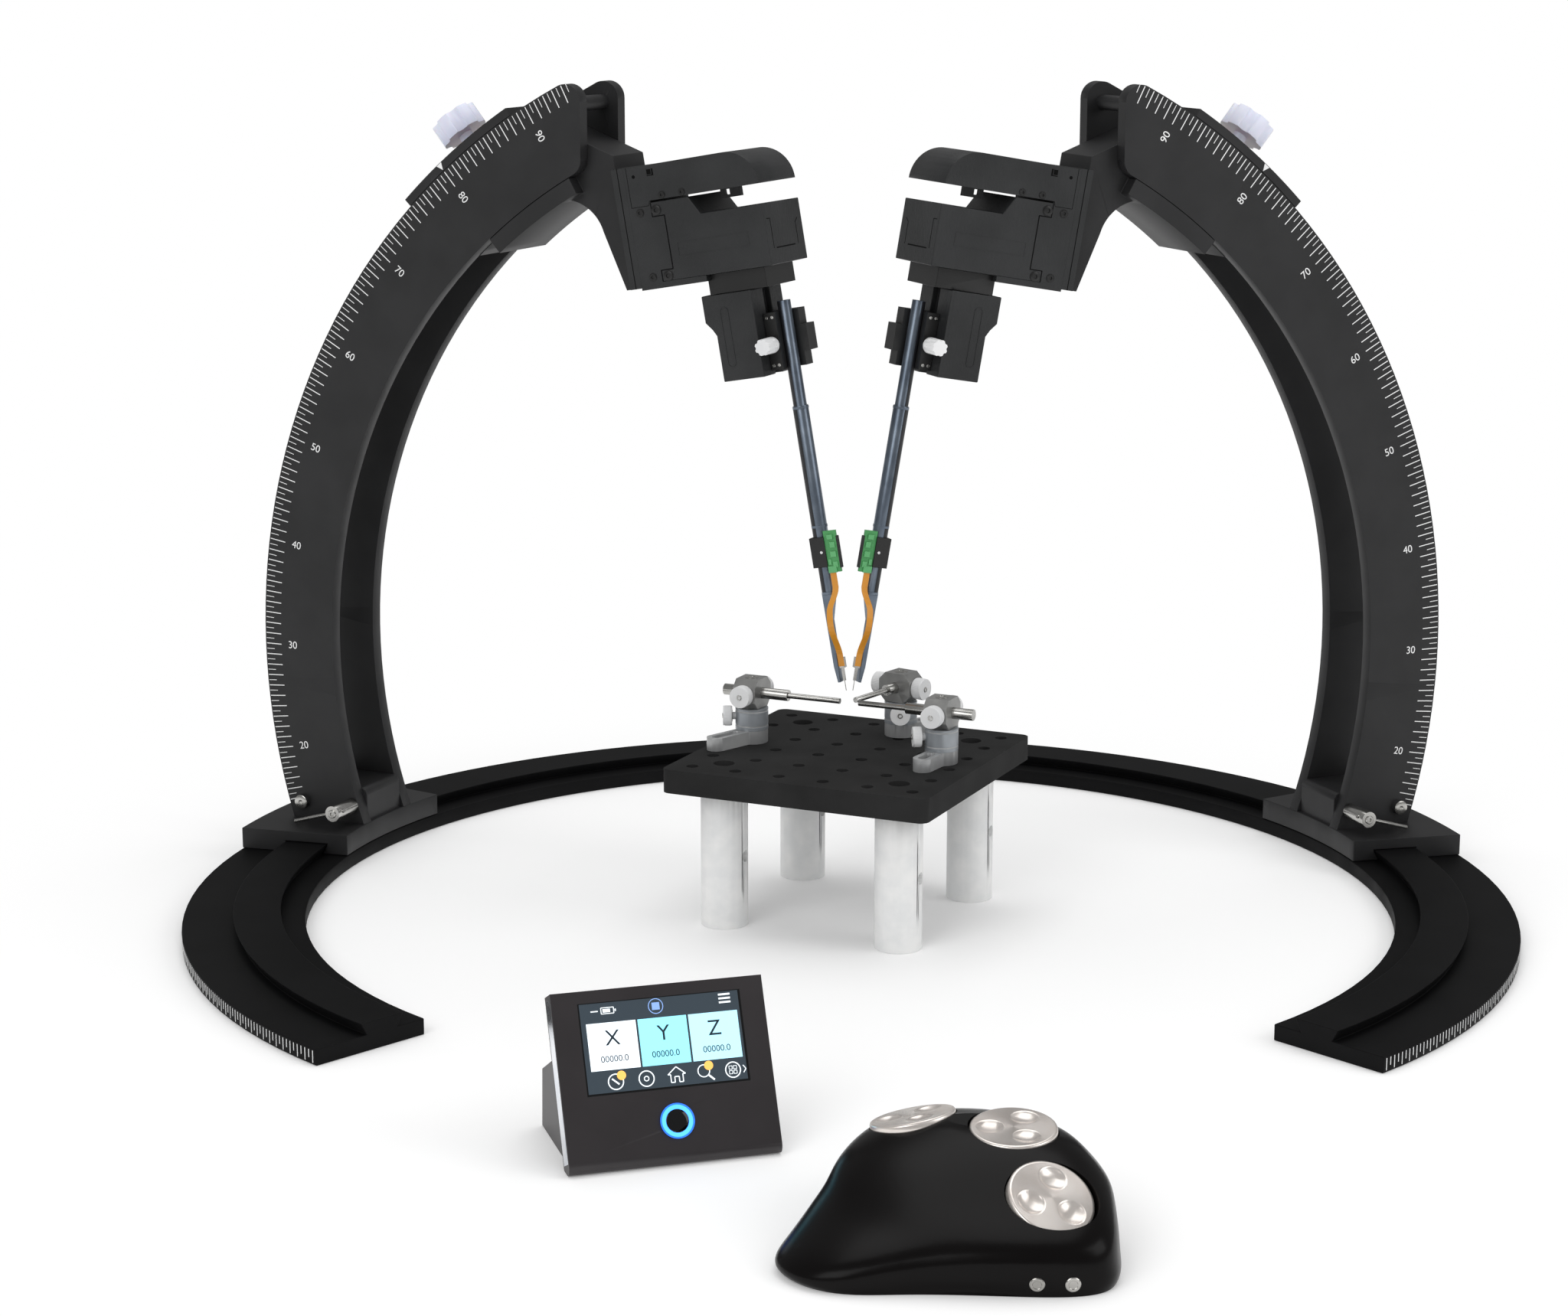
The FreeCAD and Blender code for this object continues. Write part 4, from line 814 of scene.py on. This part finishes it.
bpy.context.view_layer.update()
JACK = [(0, -1), (3.1, -1), (3.1, 0.3), (2.8, 0.6), (1.9, 0.6), (1.7, 0.4), (0, 0.35)]
sockets = [(jack(x, 5.4), spun(JACK)) for x in (73.4, 87.3)]
piece("dial_unit_sockets", gathered(sockets), Matrix(), "dial_unit", needle_steel)

# %% [markdown]
# ## Floor and light
# The photograph is a studio picture on white. The floor is pale and keeps soft shadows near the object;
# the world is white to the camera and dimmer in reflections, so that black tops stay black. Three wide
# soft lamps model the shapes.

# %% Floor and light
WORLD_LIGHT, WORLD_SEEN, GLOSSY_LESS = 0.58, 1.0, 0.3
# Metres from the stage at which the floor starts and ends to fade into white.
FADE_START, FADE_END = 0.35, 0.6
FLOOR_HALF, FLOOR_DROP = 8, -0.0002
floor_material, tree, shader = surface("white paper floor", Roughness=0.9, Specular_IOR_Level=0.1)
shader.inputs["Base Color"].default_value = colour("#fafafa")
shader.inputs["Emission Color"].default_value = (1, 1, 1, 1)
shader.inputs["Emission Strength"].default_value = 0.12
paths = add(tree, "ShaderNodeLightPath")
place = add(tree, "ShaderNodeNewGeometry")
away = add(tree, "ShaderNodeVectorMath", {0: place.outputs["Position"], 1: (0, -0.12, 0)},
           operation="DISTANCE")
fade = add(tree, "ShaderNodeMapRange",
           {"Value": away.outputs["Value"], "From Min": FADE_START, "From Max": FADE_END},
           interpolation_type="SMOOTHSTEP")
share = add(tree, "ShaderNodeMath", {0: fade.outputs["Result"], 1: paths.outputs["Is Camera Ray"]},
            operation="MULTIPLY")
white = add(tree, "ShaderNodeEmission", {"Strength": 1.0})
mixed = add(tree, "ShaderNodeMixShader",
            {0: share.outputs["Value"], 1: shader.outputs[0], 2: white.outputs[0]})
tree.links.new(mixed.outputs[0], tree.nodes["Material Output"].inputs["Surface"])
floor_mesh = bpy.data.meshes.new("floor")
corners = [(x, y, FLOOR_DROP) for x, y in rectangle(-FLOOR_HALF, -FLOOR_HALF, FLOOR_HALF, FLOOR_HALF)]
floor_mesh.from_pydata(corners, [], [(0, 1, 2, 3)])
floor = bpy.data.objects.new("floor", floor_mesh)
floor_mesh.materials.append(floor_material)
bpy.context.collection.objects.link(floor)

world = bpy.data.worlds.new("white studio")
bpy.context.scene.world = world
world.use_nodes = True
tree = world.node_tree
paths = add(tree, "ShaderNodeLightPath")
seen = add(tree, "ShaderNodeMapRange",
           {"Value": paths.outputs["Is Camera Ray"], "To Min": WORLD_LIGHT, "To Max": WORLD_SEEN})
less = add(tree, "ShaderNodeMath", {0: paths.outputs["Is Glossy Ray"], 1: GLOSSY_LESS},
           operation="MULTIPLY")
strength = add(tree, "ShaderNodeMath", {0: seen.outputs["Result"], 1: less.outputs["Value"]},
               operation="SUBTRACT")
tree.links.new(strength.outputs["Value"], tree.nodes["Background"].inputs["Strength"])
tree.nodes["Background"].inputs["Color"].default_value = (1, 1, 1, 1)


def lamp(name, place, size, power):
    data = bpy.data.lights.new(name, "AREA")
    data.size = size
    data.energy = power
    light = bpy.data.objects.new(name, data)
    light.location = place
    light.rotation_euler = (Vector(place) - Vector((0, 0, 0.2))).to_track_quat("Z", "Y").to_euler()
    bpy.context.collection.objects.link(light)


lamp("front softbox", (-1.2, -2.0, 1.6), 1.5, 16)
lamp("side softbox", (1.9, -0.8, 1.2), 1.2, 9)
lamp("top softbox", (0.1, 0.4, 2.2), 1.8, 14)
bpy.context.scene.view_settings.view_transform = "Standard"
